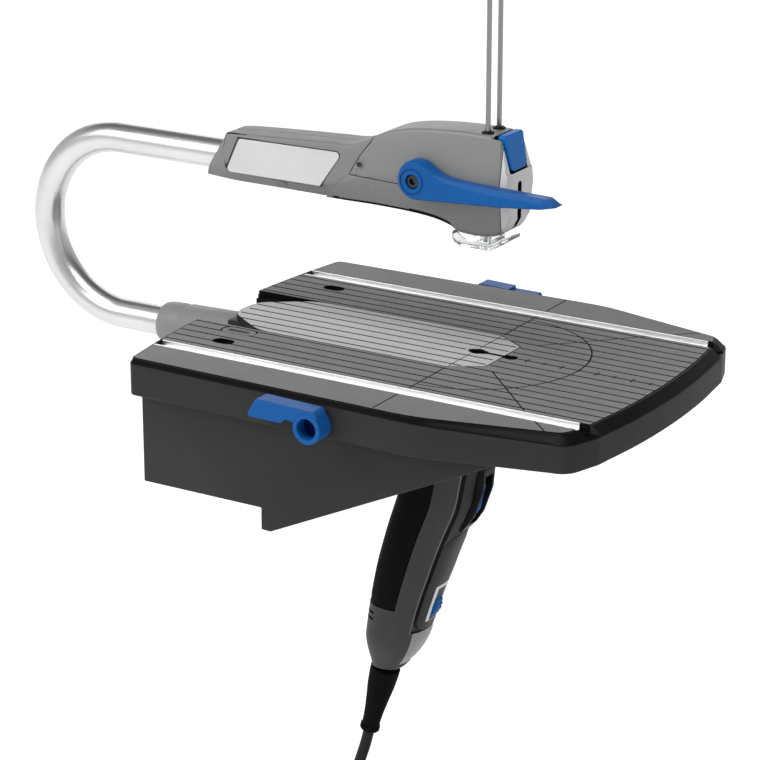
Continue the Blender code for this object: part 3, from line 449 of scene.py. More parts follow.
def stage():
    """White below, grey above, four soft lamps, and a pale floor that glows more the farther off it is."""
    scene = bpy.context.scene
    scene.view_settings.view_transform = "Standard"
    world = bpy.data.worlds.new("studio")
    world.use_nodes = True
    tree = world.node_tree
    back = tree.nodes["Background"]
    coords = tree.nodes.new("ShaderNodeTexCoord")
    split = tree.nodes.new("ShaderNodeSeparateXYZ")
    ramp = tree.nodes.new("ShaderNodeValToRGB")
    low, high = ramp.color_ramp.elements
    low.position, low.color = 0.36, (1.0, 1.0, 1.0, 1.0)
    high.position, high.color = 0.64, (0.2, 0.2, 0.205, 1.0)
    tree.links.new(coords.outputs["Generated"], split.inputs[0])
    tree.links.new(split.outputs["Z"], ramp.inputs["Fac"])
    tree.links.new(ramp.outputs["Color"], back.inputs["Color"])
    back.inputs["Strength"].default_value = 0.6
    scene.world = world

    bm = bmesh.new()
    bmesh.ops.create_grid(bm, x_segments=8, y_segments=8, size=14.0)
    for vert in bm.verts:
        vert.co.z = -0.40
    floor = add_object("floor", to_mesh(bm, "floor"))
    n = Nodes("floor_paint")
    tone = n.tint(n.noise(0.6, 3.0), (0.92, 0.92, 0.92), (0.95, 0.95, 0.95))
    away = n.new("VectorMath", operation="LENGTH")
    n.link(n.object, away.inputs[0])
    glow = n.ramp(away.outputs["Value"], 0.5, 1.0, 1.0, 3.5)
    floor.data.materials.append(n.set(Base_Color=tone, Roughness=0.9, Emission_Color=(1.0, 1.0, 1.0, 1.0),
                                      Emission_Strength=glow))
    area("key_left", (-1.1, -1.5, 1.35), (0.05, 0.0, 0.05), (1.3, 1.0), 20.0)
    area("overhead", (0.1, -0.65, 1.6), (0.05, 0.0, 0.05), (1.7, 0.7), 20.0)
    area("back", (-0.95, 1.65, 0.75), (0.05, 0.0, 0.05), (1.6, 0.8), 5.0)
    area("fill_right", (1.9, -0.3, 0.35), (0.1, 0.0, 0.05), (0.8, 1.3), 0.9)


camera()
stage()

# ---- cord ----

RELIEF_START = Vector((-51.4, 0.0, -183.4))  # top of the strain relief, which is 40 mm long
RELIEF_RUN = Vector((-10.5, 0.0, -39.9)).normalized()
HANG, COIL_X, COIL_Z = -71.5, -32.5, -306.0  # x of the hanging lead, and the coil's centre
TURN_STEPS = 24
COIL_TURNS = ((39, -6), (33, -6), (27, -6), (27, 0), (27, 6), (33, 6), (33, 0), (39, 0), (39, 6))  # (radius, y)


def cord_route():
    """From the strain relief down to the coil, nine turns, and on down to the plug."""
    start = RELIEF_START + RELIEF_RUN * 40.0
    lead = [start + RELIEF_RUN * GAP, start + RELIEF_RUN * 12.0, Vector((-69.9, -1.5, -252.0)),
            Vector((HANG, -4.5, -268.0)), Vector((HANG, -6.0, -284.0)), Vector((HANG, -6.0, -306.0))]
    points = smooth_line(lead, 3)[:-1]
    for turn, (radius, shift) in enumerate(COIL_TURNS):
        after = (COIL_TURNS + ((39, 12.3),))[turn + 1]
        begin = (300.0 - 25.0 * turn) / 360.0
        for k in range(TURN_STEPS):
            t = k / TURN_STEPS
            mix = min(1.0, max(0.0, (t - begin) / (60.0 / 360.0)))
            mix = mix * mix * (3 - 2 * mix)
            r = radius + (after[0] - radius) * mix
            y = shift + (after[1] - shift) * mix
            angle = math.pi + math.tau * t
            points.append(Vector((COIL_X + r * math.cos(angle), y, COIL_Z + r * math.sin(angle))))
    points += [Vector((HANG, 12.3, COIL_Z - drop)) for drop in (0.0, 15.0, 30.0, 45.0, 58.0)]
    return points


def cord():
    points = [put(*p) for p in cord_route()]
    curve = bpy.data.curves.new("mains_cord", "CURVE")
    curve.dimensions = "3D"
    spline = curve.splines.new("POLY")
    spline.points.add(len(points) - 1)
    for slot, p in zip(spline.points, points):
        slot.co = (*p, 1.0)
    curve.bevel_depth = 3.0 * MM
    curve.bevel_resolution = 4
    curve.use_fill_caps = True
    curve.materials.append(M["cord"])
    obj = add_object("mains_cord", curve)
    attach(obj, "base")
    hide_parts("cord", "cord_coil", "cord_tail")
    tie = refine("cord_tie", "jet", "base", bevel=0.3)
    plug = refine("plug_body", "cord", "base")
    pins = [refine("plug_pin_%d" % i, "brass", "base") for i in (1, 2)]


cord()


# ---- table ----

HALF_W, BACK_X, FRONT_X = 95.5, -147.0, 102.0
RAIL_Y, RAIL_HALF = 69.5, 4.2
GROOVE = 7.7  # pitch of the table's grooves
SHOE_SLANT = 1.55  # slope of the shoe's front corners, x over y


def back_edge(y):
    return BACK_X + 8.0 * (y / HALF_W) ** 2


def front_edge(y):
    return FRONT_X - 4.2 * (y / 60.0) ** 2


def half_table():
    corners = [(back_edge(y), y, 0) for y in (28.3, 40.0, 52.0, 64.0, 76.0)]
    corners += [(back_edge(HALF_W), HALF_W, 2.5), (21.0, 98.4, 90.0), (92.0, 81.6, 6.0),
                (front_edge(66.0), 66.0, 10.0)]
    corners += [(front_edge(y), y, 0) for y in (40.0, 30.0, 20.0, 10.0)]
    return rounded([(0.0, 0.0, 0)] + corners + [(FRONT_X, 0.0, 0)], 8)[1:]


def table_path():
    """Edge of the table's top from one side of the back notch round the front to the other."""
    half = half_table()
    return half + [(x, -y) for x, y in reversed(half[:-1])]


def rim_reach(normal):
    """How far the rim stands out: more in front than behind."""
    return 1.3 + 2.7 * (1.0 + normal.x) if normal.x < 0 else 4.0 + 2.2 * normal.x ** 0.5


def rim():
    """Moulded rim: lip, sloping black band, soft ridge and a skirt with a slight draft."""
    path = table_path()

    def build(bm):
        rings = []
        for i, point in enumerate(path):
            here = Vector(point)
            before, after = Vector(path[max(i - 1, 0)]), Vector(path[min(i + 1, len(path) - 1)])
            run = (after - before).normalized()
            normal = Vector((run.y, -run.x))
            if normal.dot(here) < 0:
                normal = -normal
            if i in (0, len(path) - 1):
                normal = Vector((-1.0, 0.0))
            far = rim_reach(normal)
            top = -1.8 - 2.6 * min(1.0, max(0.0, (here.x - 20.0) / 75.0))
            slope = [(0.9 + (far - 1.5) * t, -GAP + (top + 0.3) * t ** 1.3) for t in (0.0, 0.33, 0.66, 0.92)]
            section = [(GAP, -GAP)] + slope
            section += [(far - 0.25, top - 0.05), (far - 0.03, top - 0.5), (far, top - 1.1), (far, -17.9),
                        (far - 0.35, -18.3), (-1.2, -18.3), (-1.2, -6.3), (GAP, -6.3)]
            rings.append([(here.x + normal.x * out, here.y + normal.y * out, z) for out, z in section])
        skin(bm, rings)

    piece = make("rim_skin", build, "black", "base", "rim_frame", smooth=28.0)
    for y in (-RAIL_Y, RAIL_Y):
        box_cut(piece, (88.0, y - RAIL_HALF, -4.6), (112.0, y + RAIL_HALF, 2.0))
    paint(piece, "jet", lambda c, n: n.z > 0.25 and c.z > -4.9)
    resmooth(piece, 28.0)


def groove_lines(low, high):
    first, last = math.ceil(low / GROOVE), math.floor(high / GROOVE)
    return [k * GROOVE for k in range(first, last + 1)]


def vee(p, side, half, deep):
    """Section of a V-shaped tool at p, which cuts deep into the top and is half wide at Z = 0."""
    rise = Vector((0, 0, deep * 0.4))
    return [p + side * half * 1.4 + rise, p + Vector((0, 0, -deep)), p - side * half * 1.4 + rise]


def v_cut(bm, start, end, half=0.6, deep=0.75):
    a, b = Vector((*start, 0.0)), Vector((*end, 0.0))
    run = (b - a).normalized()
    side = Vector((-run.y, run.x, 0.0))
    skin(bm, [vee(p, side, half, deep) for p in (a, b)])


def thin_cut(bm, start, end):
    v_cut(bm, start, end, half=0.4, deep=0.5)


def arc_cut(bm, radius, start, end):
    spokes = [Vector((math.cos(a), math.sin(a), 0.0)) for a in span(start, end, 48)]
    skin(bm, [vee(out * radius, out, 0.42, 0.5) for out in spokes])


def engrave(obj, build, look):
    """Cuts fine lines into a flat top and colours the cut walls: painted shade in the grooves, print in the ink lines.
    """
    cut(obj, build)
    mesh = obj.data
    if mesh.materials.find(M[look].name) < 0:
        mesh.materials.append(M[look])
    index = mesh.materials.find(M[look].name)
    top = put(0, 0, 0).z
    for face in mesh.polygons:
        z = (face.center.z - top) / MM
        if -1.2 < z < -0.04 and 0.2 < face.normal.z < 0.97 and face.material_index == 0:
            face.material_index = index


def painted_shade_walls(obj):
    """Openings and everything under the top are painted black as shade."""
    paint(obj, "jet", lambda c, n: c.z < -1.4 or abs(n.z) < 0.2)


def deck():
    obj = refine("deck_plate", "deck", "base")
    applied_bevel(obj, 0.25, 1)

    def back_part(bm):
        for y in groove_lines(-64.0, 64.0):
            if abs(y) > 30:
                v_cut(bm, (back_edge(y) - 1, y), (front_edge(y) + 1, y))

    def front_part(bm):
        for y in groove_lines(-28.5, 28.5):
            start = 17.2 - max(0.0, abs(y) - 17.0) * SHOE_SLANT if y else 24.2
            v_cut(bm, (start, y), (front_edge(y) + 1, y))

    def slants(bm):
        for sign in (-1, 1):
            thin_cut(bm, (22.0, sign * 22.6), (62.5, sign * 64.4))
            thin_cut(bm, (73.5, sign * 74.6), (83.0, sign * 83.4))

    def across(bm):
        for sign in (-1, 1):
            thin_cut(bm, (0.0, sign * 29.5), (0.0, sign * 64.3))
            thin_cut(bm, (0.0, sign * 74.8), (0.0, sign * 97.4))
        for i, x in enumerate(span(29.4, 96.0, 7)):
            half = 1.7 if i % 2 else 2.6
            thin_cut(bm, (x, -half), (x, half))

    engrave(obj, back_part, "groove")
    engrave(obj, front_part, "groove")
    engrave(obj, lambda bm: arc_cut(bm, 57.6, -math.pi / 2, math.pi / 2), "ink")
    engrave(obj, slants, "ink")
    engrave(obj, across, "ink")
    drill(obj, "z", (20.6, 0.0), 3.0, -8.0, 3.0)
    painted_shade_walls(obj)
    resmooth(obj)


def shoe():
    obj = refine("shoe_plate", "shoe", "base")
    applied_bevel(obj, 0.5, 2)

    def lines(bm):
        for y in groove_lines(-27.0, 27.0):
            front = 14.5 - max(0.0, abs(y) - 17.0) * SHOE_SLANT if y else -5.0
            v_cut(bm, (-134.0 + max(0.0, abs(y) - 8.0) * 0.5, y), (front, y))

    engrave(obj, lines, "groove")
    engrave(obj, lambda bm: [v_cut(bm, (0.0, s * 4.5), (0.0, s * 27.0), half=0.28, deep=0.35)
                             for s in (-1, 1)], "ink")
    drill(obj, "z", (1.4, 0.0), 3.8, -8.0, 3.0, 40)
    painted_shade_walls(obj)
    resmooth(obj)


def socket_screw(name, centre, face, radius, height, depth, body, node):
    """Cylinder head with a hexagon socket, standing out of a near face."""
    def loop(size, t, hexagon=False):
        ring = []
        for a in turns(36):
            r = size / math.cos((a + math.pi / 6) % (math.pi / 3) - math.pi / 6) if hexagon else size
            ring.append((centre[0] + r * math.cos(a), face - t, centre[1] + r * math.sin(a)))
        return ring

    def build(bm):
        skin(bm, [loop(radius, 0.0), loop(radius, height * 0.8), loop(radius * 0.94, height * 0.96),
                  loop(radius * 0.86, height), loop(radius * 0.5, height, True),
                  loop(radius * 0.485, height - depth, True)])

    make(name, build, "screw", body, node)


def lock_lever(side, sign):
    lever = refine("lock_lever_" + side, "blue", "lock_" + side)
    if side == "far":
        box_cut(lever, (-38.0, 100.0, -3.4), (-15.0, 116.0, 5.0))
    applied_bevel(lever, 0.9, 3, 35.0)
    resmooth(lever)

    # The cup inside the hub is a darker copy of the lever's blue: painted shade in the hollow.
    def cup(bm):
        revolve(bm, "y", (-27.5, -11.5), [(sign * 104.8, 5.2), (sign * 105.6, 5.25), (sign * 105.8, 4.6),
                                          (sign * 105.8, 0.5), (sign * 104.8, 0.5)], 40)

    make("lock_cup_" + side, cup, "painted_shade_blue", "lock_" + side)


def table():
    rim()
    deck()
    shoe()
    tab = refine("latch_tab", "deck", "base")
    applied_bevel(tab, 0.5, 2)
    slot = rounded([(-123.5, -36.2, 1.4), (-111.0, -36.2, 1.4), (-111.0, -33.1, 1.4), (-123.5, -33.1, 1.4)], 6)
    cut(tab, lambda bm: slab(bm, slot, "z", -1.6, 2.0))
    resmooth(tab)
    for side, sign in SIDES:
        refine("rail_" + side, "rail", "base", bevel=0.18)
        refine("cheek_" + side, "charcoal", "base", bevel=0.6, segments=3)
        refine("lock_spigot_" + side, "dark", "base", bevel=0.3)
        lock_lever(side, sign)
    refine("bench_seat", "charcoal", "base", bevel=0.7, segments=3)


# ---- frame tube ----

def tube():
    path = [Vector((-92.0, 0, -16.2)), Vector((-120.0, 0, -16.2)), Vector((-150.0, 0, -16.2)),
            Vector((-190.0, 0, -16.2))]
    for a in span(0.0, math.pi, 64):
        path.append(Vector((-213.7 - 48.3 * math.sin(a), 0, 32.1 - 48.3 * math.cos(a))))
    path += [Vector((-190.0, 0, 80.4)), Vector((-150.0, 0, 80.4)), Vector((-122.0, 0, 80.4))]

    def build(bm):
        outer, inner = [], []
        for p, a, b in frames(path):
            spokes = [a * math.cos(t) + b * math.sin(t) for t in turns(48)]
            outer.append([p + out * 8.0 for out in spokes])
            inner.append([p + out * 6.0 for out in spokes])
        skin(bm, outer + inner[::-1], closed=True)

    make("frame_tube_skin", build, "tube", "base", "frame_tube", smooth=50)

    def collar(bm):
        revolve(bm, "x", (0.0, -16.2), [(-187.0, 8.3), (-187.0, 10.2), (-186.6, 10.55), (-184.0, 11.2),
                                        (-176.0, 11.6), (-174.0, 11.3), (-172.5, 11.3), (-171.0, 11.8),
                                        (-140.6, 12.5), (-139.6, 12.3), (-139.5, 12.0), (-139.5, 8.3)], 56)

    make("tube_collar_skin", collar, "collar", "base", "tube_collar")
    refine("frame_casting", "dark", "base", bevel=1.0, segments=3)


# ---- handle and gear housing ----

# Stations down the handle: z, middle in x, half length in x, half width in y.
HANDLE = [(-3.4, -10.0, 30.0, 23.0), (-30.0, -10.5, 29.5, 23.0), (-50.0, -13.6, 23.9, 20.6),
          (-65.0, -15.5, 21.3, 19.8), (-80.6, -18.9, 21.6, 19.8), (-95.5, -24.6, 20.8, 19.4),
          (-110.3, -29.8, 20.0, 19.0), (-122.1, -33.5, 19.4, 18.6), (-131.1, -36.2, 18.6, 18.2),
          (-143.1, -39.4, 17.7, 17.8), (-155.0, -42.1, 16.8, 17.2), (-163.0, -44.0, 15.9, 16.4),
          (-170.0, -45.6, 13.8, 14.2), (-176.0, -47.4, 11.0, 11.2), (-181.0, -49.2, 8.6, 8.8)]
FINE_HANDLE = smooth_line(HANDLE, 6)
SKIN, WALL = 1.5, 4.2  # thickness of the covers and of the housing
CORD_BORE = 4.2  # radius of the housing's hole for the cord
BUTT_ANGLE = 0.66
EDGE_TURN = 0.012  # angle over which a cover's edge falls away
GRIP_SLOTS, SLOT_HEIGHT = (-146.2, -149.6), 1.3  # tops of the slots across the back of the handle
PANEL_ANGLE, RUBBER_ANGLE = math.radians(42.5), math.radians(82.5)
SEAM_DROP = 6.5  # how far the hood's lower edge falls at its sides
PAINTED_HIGHLIGHT_BAND = 0.06  # painted highlight: paler strip of the housing beside the panel


def slice_at(z):
    for one, two in zip(FINE_HANDLE, FINE_HANDLE[1:]):
        if one[0] >= z >= two[0]:
            t = (one[0] - z) / (one[0] - two[0])
            return [one[k] + (two[k] - one[k]) * t for k in (1, 2, 3)]
    return list(FINE_HANDLE[-1][1:]) if z < FINE_HANDLE[-1][0] else list(FINE_HANDLE[0][1:])


def on_handle(z, angle, inset):
    middle, long, wide = slice_at(z)
    c, s = math.cos(angle), math.sin(angle)
    return Vector((middle + math.copysign(abs(c) ** 0.85, c) * (long - inset),
                   math.copysign(abs(s) ** 0.85, s) * (wide - inset), z))


def turn_of(point):
    """Angle on the handle's outline, as on_handle takes it."""
    middle, long, wide = slice_at(point.z)
    ahead = (point.x - middle) / long
    return math.atan2((abs(point.y) / wide) ** (1 / 0.85), math.copysign(abs(ahead) ** (1 / 0.85), ahead))


def levels(top, bottom):
    return span(top, bottom, max(2, round((top - bottom) / 4.0)))


def wrap(name, top, bottom, low, high, look, node, outer=0.0, inner=SKIN, steps=24, edge=0.45, side=None, bevel=0.3,
         curl=None):
    """Curved cover lying on the handle between two angles and two heights. Its ends are sunk by edge and its
    sides by side. curl(share, turn) lifts its points, by the share of the way down and of the half angle."""
    side = edge - outer if side is None else side

    def build(bm):
        heights = levels(top, bottom)
        rings = []
        for z in heights:
            sunk = edge - outer if z in (heights[0], heights[-1]) else -outer
            line = [(low, side)] + [(a, sunk) for a in span(low + EDGE_TURN, high - EDGE_TURN, steps)]
            line += [(high, side)] + [(a, inner) for a in span(high, low, steps)]
            share = (top - z) / (top - bottom)
            rings.append([on_handle(z + (curl(share, abs(a) / high) if curl else 0.0), a, inset)
                          for a, inset in line])
        skin(bm, rings)

    return make(name, build, look, "base", *([node] if node else []), bevel=bevel, smooth=40)


def shell_ring(z, sign, front_angle, front, back, bore):
    """Section of one housing half: sunk by front and back under the covers, with a round bore if there is one."""
    back_angle = max(RUBBER_ANGLE, front_angle + 0.1)
    outline = [(a, front) for a in span(0.0, front_angle + EDGE_TURN, 6)]
    # The span from here to the next point is the strip that gets the painted highlight.
    outline += [(front_angle + EDGE_TURN + 0.004, 0.0)]
    outline += [(a, 0.0) for a in span(front_angle + PAINTED_HIGHLIGHT_BAND, back_angle - EDGE_TURN - 0.004, 8)]
    outline += [(a, back) for a in span(back_angle - EDGE_TURN, math.pi, 14)]
    points = [on_handle(z, sign * a, inset) for a, inset in outline]
    middle = slice_at(z)[0]
    for a in span(math.pi, 0.0, 20):
        points.append(Vector((middle + bore * math.cos(a), sign * bore * math.sin(a), z)) if bore
                      else on_handle(z, sign * a, WALL))
    for point in points:
        if abs(point.y) < GAP / 2:
            point.y = sign * GAP / 2
    return points


def grip_slot(bm, sign, top):
    """Short shallow slot across the back of the handle, on one side."""
    angles = span(2.05, 2.8, 8)
    skin(bm, [[on_handle(z, sign * a, -1.5) for a in angles] + [on_handle(z, sign * a, 0.9) for a in angles[::-1]]
              for z in (top, top - SLOT_HEIGHT)])


def in_grip_slot(c):
    if c.x > -50 or not any(top - SLOT_HEIGHT < c.z < top for top in GRIP_SLOTS):
        return False
    return (c - on_handle(c.z, math.atan2(c.y, c.x - slice_at(c.z)[0]), 0.0)).length > 0.6


def housing():
    sunk = SKIN + GAP
    steps = [(z, PANEL_ANGLE, 0.0, 0.0, None) for z in levels(-3.4, -54.7)]
    steps += [(z, PANEL_ANGLE, sunk, sunk, None) for z in levels(-54.71, -142.3)]
    steps += [(z, PANEL_ANGLE, sunk, 0.0, None) for z in levels(-142.31, -155.5)]
    steps += [(z, BUTT_ANGLE, sunk, 0.0, None) for z in (-155.51, -158.0, -160.5, -163.0, -166.0, -170.0)]
    steps += [(z, BUTT_ANGLE, sunk, 0.0, CORD_BORE) for z in (-173.0, -176.0, -178.3)]
    steps += [(z, BUTT_ANGLE, 0.0, 0.0, CORD_BORE) for z in (-178.31, -179.6, -181.0)]
    for side, sign in SIDES:
        shell = make("housing_skin_" + side, lambda bm: skin(bm, [shell_ring(z, sign, *rest) for z, *rest in steps]),
                     "band", "base", "housing_" + side)
        box_cut(shell, (-28.4, -4.6, -152), (0, 4.6, -127))
        box_cut(shell, (-12, -4.6, -94), (30, 4.6, -62))
        for top in GRIP_SLOTS:
            cut(shell, lambda bm: grip_slot(bm, sign, top))
        # The paler strip beside the panel is a painted highlight.
        paint(shell, "edge", lambda c, n: -155.0 < c.z < -55.0
              and PANEL_ANGLE + 0.018 < turn_of(c) < PANEL_ANGLE + PAINTED_HIGHLIGHT_BAND)
        # The grip slots and the faces across the dial's opening are painted black as shade.
        paint(shell, "jet", lambda c, n: in_grip_slot(c) or (-152 < c.z < -145 and abs(n.z) > 0.9))
        resmooth(shell, 50)


DIAL_CUT = ((-30, -6.6, -151.5), (10, 6.6, -127.1))
SWITCH_CUT = ((-30, -3.9, -92), (30, 3.9, -64))
PANEL_HALF = PANEL_ANGLE - 0.11  # half angle of the panel and the hood


def front_covers():
    """Black channel, panel, bezel of the speed wheel, switch hood and light cap down the front of the handle."""
    liner = wrap("panel_channel", -55.2, -155.2, 0.01 - PANEL_ANGLE, PANEL_ANGLE - 0.01, "jet", None, outer=-0.85,
                 edge=0.1, side=0.1, bevel=0.0, curl=lambda share, turn: 7.0 * share * turn ** 4)
    box_cut(liner, *DIAL_CUT)
    box_cut(liner, *SWITCH_CUT)
    resmooth(liner)
    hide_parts("front_panel")
    panel = wrap("front_panel_skin", -97.6, -154.8, -PANEL_HALF, PANEL_HALF, "dark", "front_panel", inner=0.7,
                 curl=lambda share, turn: 6.0 * share * turn ** 4 - SEAM_DROP * (1.0 - share) * turn ** 2)
    box_cut(panel, *DIAL_CUT)
    resmooth(panel, 40)
    bezel = wrap("dial_bezel_skin", -127.4, -151.2, -0.29, 0.29, "silver", "dial_bezel", outer=0.3, steps=12)
    box_cut(bezel, (-40, -3.9, -149.5), (10, 3.9, -130.6))
    resmooth(bezel, 40)
    hood = wrap("switch_hood_skin", -55.0, -97.0, -PANEL_HALF, PANEL_HALF, "jet", "switch_hood", steps=36,
                curl=lambda share, turn: -SEAM_DROP * share * turn ** 2)
    bump = rounded([(7.0, -57.0, 0), (8.6, -57.0, 0.5), (9.4, -60.5, 2.5), (8.4, -71.8, 9.0), (3.4, -86.0, 9.0),
                    (-0.6, -92.0, 4.0), (-4.0, -96.0, 0), (-4.9, -96.0, 0), (-2.6, -90.5, 0), (0.8, -83.0, 0),
                    (3.9, -69.0, 0), (6.2, -60.0, 0)])
    cut(hood, lambda bm: slab(bm, bump, "y", -5.6, 5.6), "UNION")
    box_cut(hood, *SWITCH_CUT)
    paint(hood, "dark", lambda c, n: abs(c.y) > 6.2 + 0.004 * (c.z + 70.0) ** 2)
    soften(hood, 0.3, angle=45.0, smooth=40)
    wrap("butt_cap_skin", -155.8, -178.0, -BUTT_ANGLE, BUTT_ANGLE, "butt", "butt_cap", edge=0.6)


def handle():
    housing()
    wrap("grip_rubber_skin", -55.0, -142.0, RUBBER_ANGLE, math.tau - RUBBER_ANGLE, "rubber", "grip_rubber",
         steps=48, edge=0.5)
    front_covers()
    refine("power_slider", "blue", "power", bevel=0.7, segments=3)

    def dial(bm):
        rings = []
        for t, grow in ((-3.2, -1.0), (-2.5, 0.0), (2.5, 0.0), (3.2, -1.0)):
            radii = [10.5 + grow - (0.0 if i % 6 in (1, 2, 3, 4) else 0.4) for i in range(144)]
            rings.append([(-29.2 + r * math.cos(a), t, -139.5 + r * math.sin(a)) for r, a in zip(radii, turns(144))])
        skin(bm, rings)

    make("speed_dial_skin", dial, "blue", "dial", "speed_dial", smooth=25)

    across = Vector((0, 1, 0))
    third = RELIEF_RUN.cross(across)

    def relief(bm):
        profile = [(-6.0, 2.0), (0.0, 2.0), (0.05, 7.2), (0.6, 7.9), (4.0, 7.85), (12.0, 7.2), (20.0, 6.15),
                   (27.0, 5.3), (32.0, 4.9), (36.9, 4.7), (37.1, 5.1), (37.5, 5.3), (39.5, 5.3), (40.0, 4.9)]
        skin(bm, [[RELIEF_START + RELIEF_RUN * t + (across * math.cos(a) + third * math.sin(a)) * r
                   for a in turns(40)] for t, r in profile])

    make("strain_relief_skin", relief, "rubber", "base", "strain_relief", smooth=30)


# ---- arm and head ----

# Stations along the arm: x, lowest z, highest z, half width below, z of the widest line, half widths there and above.
ARM = [(-153.5, 70.6, 92.5, 8.0, 77.0, 11.4, 8.6), (-140.5, 70.2, 94.4, 9.2, 77.0, 12.6, 9.6),
       (-132.0, 70.1, 95.2, 9.8, 77.0, 13.0, 10.2), (-110.0, 70.1, 96.4, 10.0, 77.0, 13.2, 10.6),
       (-80.0, 70.0, 97.8, 10.4, 78.0, 13.3, 10.8), (-66.0, 70.1, 98.6, 10.8, 81.0, 13.5, 10.8),
       (-55.0, 70.3, 102.6, 11.2, 85.0, 14.0, 10.4), (-43.0, 70.2, 107.8, 11.5, 87.0, 14.3, 10.0),
       (-31.0, 69.8, 110.4, 11.6, 88.0, 14.5, 9.8), (-18.0, 68.6, 111.8, 11.6, 88.0, 14.5, 9.8),
       (-9.0, 66.4, 112.3, 11.6, 88.0, 14.5, 9.8), (-3.0, 63.6, 112.5, 11.6, 88.0, 14.5, 9.8),
       (10.0, 63.4, 112.4, 11.5, 88.0, 14.4, 9.7), (19.0, 65.6, 111.8, 11.0, 88.0, 14.0, 9.4),
       (23.5, 72.0, 110.4, 10.0, 88.0, 13.2, 8.6)]
SPLIT_Z, CAP_X = 84.4, 20.0  # lower edge of the head's cover, back of the front cap
LEVER = (-23.3, 88.3)  # axis (x, z) of the tension lever
ROD_X, ROD_Y = 8.7, 5.5  # the two hold-down rods stand at +/- ROD_Y


def arm_ring(x, low, high, w_low, z_mid, w_mid, w_high, inset=0.0, lean=0.0):
    corners = [(-w_low + inset, low + inset, 3.0), (w_low - inset, low + inset, 3.0),
               (w_mid - inset, z_mid, 8.0), (w_high - inset, high - inset, 2.2),
               (-w_high + inset, high - inset, 2.2), (-w_mid + inset, z_mid, 8.0)]
    return [(x + lean * (z - low), y, z) for y, z in rounded(corners, 6)]


def arm_loft(bm, sections, inset=0.0, steps=4, lean_end=True):
    fine = [tuple(v) for v in smooth_line(sections, steps)]
    rings = []
    for i, section in enumerate(fine):
        lean = 0.55 * max(0.0, 1 - i / steps) if lean_end else 0.0
        rings.append(arm_ring(*section, inset=inset, lean=lean))
    skin(bm, rings)


def hollow(bm):
    sections = [(-119.0,) + ARM[3][1:]] + [s for s in ARM if s[0] > -119.0]
    sections[-1] = (CAP_X + 1.2,) + sections[-1][1:]
    arm_loft(bm, sections, inset=2.2, steps=2, lean_end=False)


def cover_outline(grow):
    return [(-64.5 - grow, SPLIT_Z - grow), (-58.9 - grow, 94.4), (-53.0 - grow, 102.0), (-50.0 - grow, 130.0),
            (40.0, 130.0), (40.0, SPLIT_Z - 1.4 - grow), (-30.0, SPLIT_Z - 1.0 - grow)]


def flank(z):
    """Arm's near flank: y at height z."""
    return -(13.2 - 2.6 * max(0.0, z - 77.0) / 19.4)


def label_shape(bm, grow, out, into):
    """Slanted outline of the label, from out of the flank to into it."""
    outline = rounded([(-131.6 - grow, 92.8 + grow * 0.6, 2.0), (-138.4 - grow * 1.4, 75.6 - grow * 0.6, 2.0),
                       (-82.2 + grow * 0.4, 75.6 - grow * 0.6, 2.0), (-70.4 + grow * 1.2, 93.6 + grow * 0.6, 2.0)], 5)
    skin(bm, [[(x, flank(z) - shift, z) for x, z in outline] for shift in (out, -into)])


HEAD_GROW = 0.6  # how far the head stands out from the sleeve
BUTTON = [(-9.0, 113.3, 1.4), (9.0, 113.3, 1.4), (7.8, 96.0, 3.0), (-7.8, 96.0, 3.0)]  # (y, z, corner radius)
BUTTON_FACE, BUTTON_LEAN = 23.9, 0.2  # x at Z = 94, and x lost for each mm of height
# Line (x, z) where the head's shell ends over the sleeve.
EDGE_LINE = [(-120.0, 30), (-65.2, 84.8), (-59.5, 94.7), (-53.6, 102.3), (-51.0, 120.0), (-50.6, 140)]


def pocket_wall(c, n):
    inside = c.x > 14.0 and abs(c.y) < 10.4 and c.z > 93.0
    return inside and ((n.x > 0.99 and c.x < 15.0) or (abs(n.y) > 0.9 and n.y * c.y < 0) or (n.z > 0.9 and c.z < 96.5))


def split_half(shell, sign, line):
    """Keeps one half of a closed shell and cuts it along a line (x, z) down to its wall."""
    half = sorted((sign * GAP / 2, -sign * 60.0))
    box_cut(shell, (-200, half[0], 40), (60, half[1], 140))
    cut(shell, lambda bm: slab(bm, line, "y", -40, 40))
    cut(shell, hollow)


def sleeve_half(side, sign):
    sleeve = make("sleeve_skin_" + side, lambda bm: arm_loft(bm, ARM), "sleeve", "base", "arm_shell_" + side)
    split_half(sleeve, sign, [(x + 0.3, z) for x, z in EDGE_LINE[::-1]] + [(60, 30), (60, 140)])
    drill(sleeve, "x", (0.0, 80.4), 8.3, -170, -117, 40)
    if side == "near":
        cut(sleeve, lambda bm: label_shape(bm, 0.8, 3.0, 0.9))
        # The walls of the label's recess are painted dark as shade.
        paint(sleeve, "dark", lambda c, n: -140.5 < c.x < -68 and c.y < -8 and n.y > -0.6 and 74.6 < c.z < 95)
    soften(sleeve, 0.5, 3)


def head_half(side, sign):
    shell = make("head_skin_" + side, grown, "slate", "base", "arm_shell_" + side)
    split_half(shell, sign, [(-210, 30)] + EDGE_LINE + [(-210, 140)])
    cut(shell, lambda bm: slab(bm, cover_outline(GAP), "y", -40, 40))
    box_cut(shell, (CAP_X - GAP, -40, 40), (60, 40, 140))
    box_cut(shell, (-6.5, -8.6, 50), (15.0, 8.6, 76))
    drill(shell, "y", LEVER, 4.2, -30, -5)
    # The strip along the underside of the head is painted black as shade.
    paint(shell, "jet", lambda c, n: -76.0 < c.x < -7.0 and c.z < 71.3 - max(0.0, c.x + 24.0) * 0.12)
    soften(shell, 0.35)


def grown(bm):
    arm_loft(bm, ARM, inset=-HEAD_GROW)


def pocket(bm):
    slab(bm, [(-8.5, 95.2), (-12.7, 140), (12.7, 140), (8.5, 95.2)], "x", 14.3, 40)


def brow(bm):
    slab(bm, [(60, 95.2), (22.9, 95.2), (17.6, 117.0), (17.6, 140), (60, 140)], "y", -40, 40)


